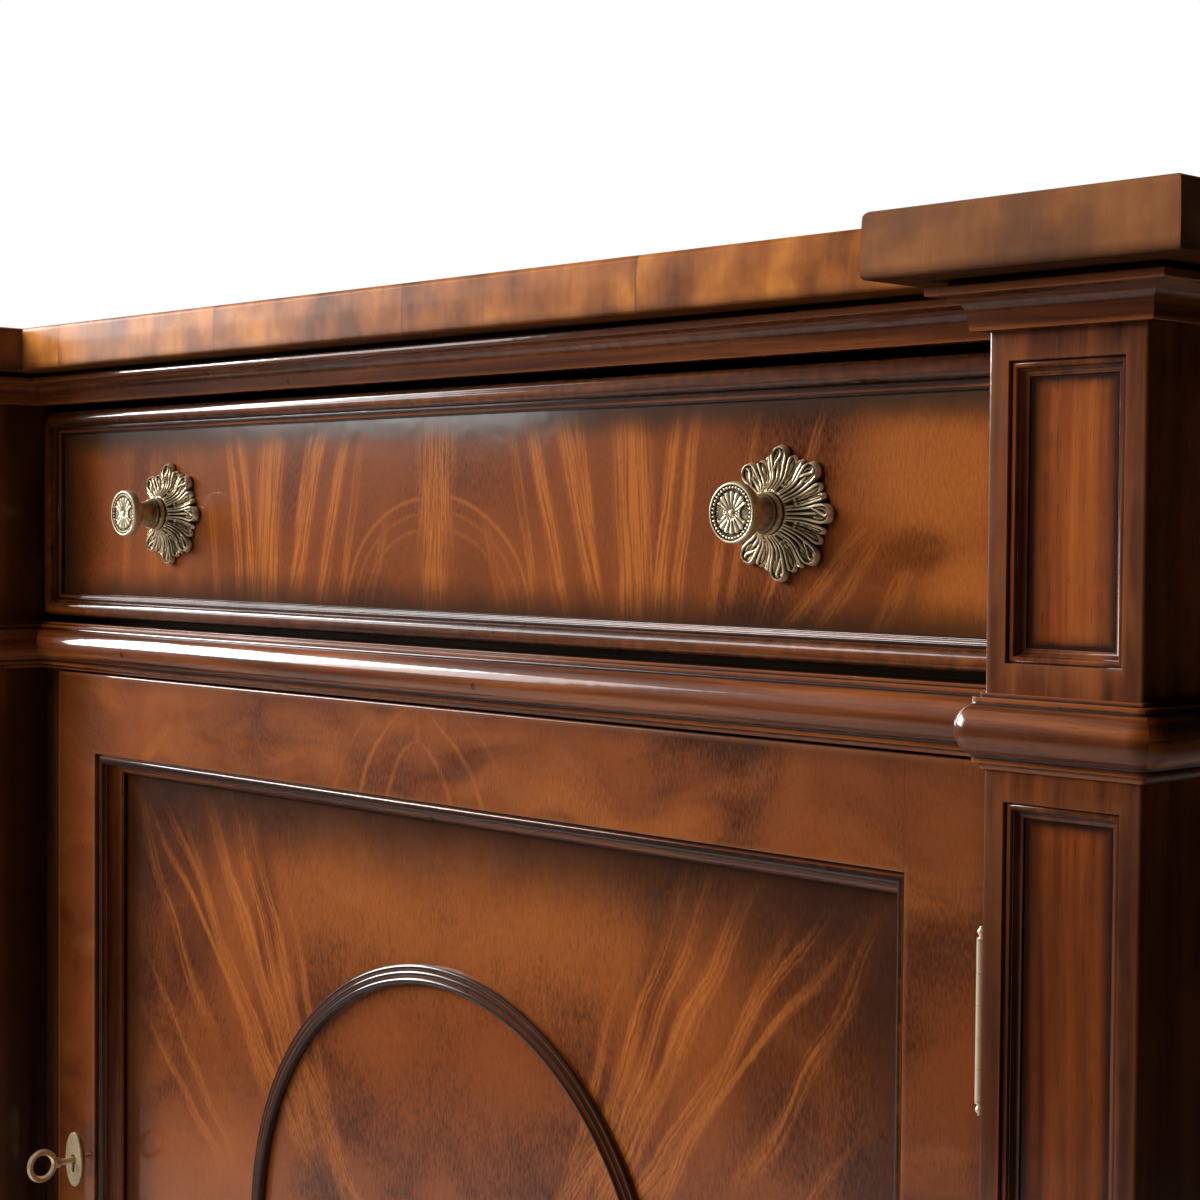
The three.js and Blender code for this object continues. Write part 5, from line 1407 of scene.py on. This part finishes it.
def knuckle_tree():
    """Knuckles along an upright barrel, with a fine gap between neighbours."""
    tree, given = node_tree("knuckles", "Geometry", {
        "Leaf": "Geometry", "Count": "Int", "Spacing": "Float", "Radius": "Float", "Height": "Float",
        "Start": "Vector", "Web Size": "Vector", "Web Place": "Vector", "Finish": "Material"},
        {"Geometry": "Geometry"})
    line = put(tree, "GeometryNodeMeshLine", {"Count": given["Count"], "Start Location": given["Start"],
                                              "Offset": joined(tree, 0.0, 0.0, given["Spacing"])})
    tube = put(tree, "GeometryNodeMeshCylinder", {"Vertices": 32, "Radius": given["Radius"],
                                                  "Depth": given["Height"]}).outputs[0]
    web = put(tree, "GeometryNodeMeshCube", {"Size": given["Web Size"]}).outputs[0]
    web = then(tree, "Transform", web, {"Translation": given["Web Place"]})
    row = bright_copies(tree, line.outputs[0], joined_up(tree, tube, web), 0.85)
    finished(tree, joined_up(tree, row, given["Leaf"]), given["Finish"])
    return tree


knuckles = knuckle_tree()


def leaf_plate(name, low, high):
    """A thin plate with eased edges."""
    corners = [(x, y, z) for x in (low[0], high[0]) for y in (low[1], high[1]) for z in (low[2], high[2])]
    made = mesh_piece(name, corners, [(0, 1, 3, 2), (4, 6, 7, 5), (0, 4, 5, 1), (2, 3, 7, 6),
                                      (0, 2, 6, 4), (1, 5, 7, 3)])
    made.data.transform(Matrix.Scale(MM, 4))
    bm = bmesh.new()
    bm.from_mesh(made.data)
    bmesh.ops.bevel(bm, geom=bm.edges[:], offset=0.15 * MM, segments=2, affect="EDGES", profile=0.5)
    bm.to_mesh(made.data)
    bm.free()
    with_floats(made.data, "crest", "FLOAT", [0.55] * len(made.data.vertices))
    return made


# Radius and height of the finial's ring lines in mm, from the barrel's end outwards.
finial = [(0.02, 0), (1.75, 0), (1.8, 0.3), (1.75, 0.7), (1.05, 1.0), (0.9, 1.5), (1.1, 2.0), (1.5, 2.6),
          (1.62, 3.2), (1.5, 3.8), (1.1, 4.3), (0.75, 4.5), (0.7, 4.75), (0.72, 5.0), (0.55, 5.35),
          (0.02, 5.6)]
for middle, level_name in ((600.8, "upper"), (195.8, "lower")):
    pitch_z, foot = LENGTH / KNUCKLES, middle - LENGTH / 2
    for who, first, count, x0, x1, body_name in (("case_leaf", 0, 3, 363.0, 363.9, "case"),
                                                 ("door_leaf", 1, 2, 361.7, 362.6, "door")):
        made = leaf_plate(f"{level_name}_{who}", (x0, -156.9, foot), (x1, -142.9, foot + LENGTH))
        start = (HINGE_X * MM, HINGE_Y * MM, (foot + pitch_z * (first + 0.5)) * MM)
        settle(made, knuckles, {"Count": count, "Spacing": 2 * pitch_z * MM, "Radius": BARREL * MM,
                                "Height": (pitch_z - 0.3) * MM, "Start": start, "Finish": brass_finish,
                                "Web Size": tuple(v * MM for v in (x1 - x0, 7.2, pitch_z - 0.35)),
                                "Web Place": tuple(v * MM for v in ((x0 + x1) / 2 - HINGE_X, 3.9, 0))})
        made.data.shade_smooth()
        made.data.set_sharp_from_angle(angle=math.radians(40))
        fit(made, body_name, "brass", f"hinge_{level_name}_{who}")
    reach, sides = LENGTH / 2 + 0.15, 28
    profile = [(r, -reach - h) for r, h in reversed(finial)] + [(r, reach + h) for r, h in finial]
    points = []
    for r, h in profile:
        for i in range(sides):
            a, r = 2 * math.pi * i / sides, min(r, 1.84)
            points.append(Vector((HINGE_X + r * math.cos(a), HINGE_Y + r * math.sin(a), middle + h)) * MM)
    made = skinned(f"{level_name}_pin", points, strips(range(0, len(points), sides), sides),
                   [0.85] * len(points), brass_finish)
    fit(tidy_up(made, 50), "case", "brass", f"hinge_{level_name}_pin")

# ---------------------------------------------------------------- shelf pins, lock plate and key
# Brass pins hold the shelf. The keyhole plate is a flat brass oval with a bevelled edge, and the key
# has a round ring for a bow. The lock's steel case behind the stile has its finish from above.
dress(plain_brass, "shelf_pin_left_front", "shelf_pin_left_rear", "shelf_pin_right_front",
      "shelf_pin_right_rear", "keyhole_plate", "key")

low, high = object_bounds()
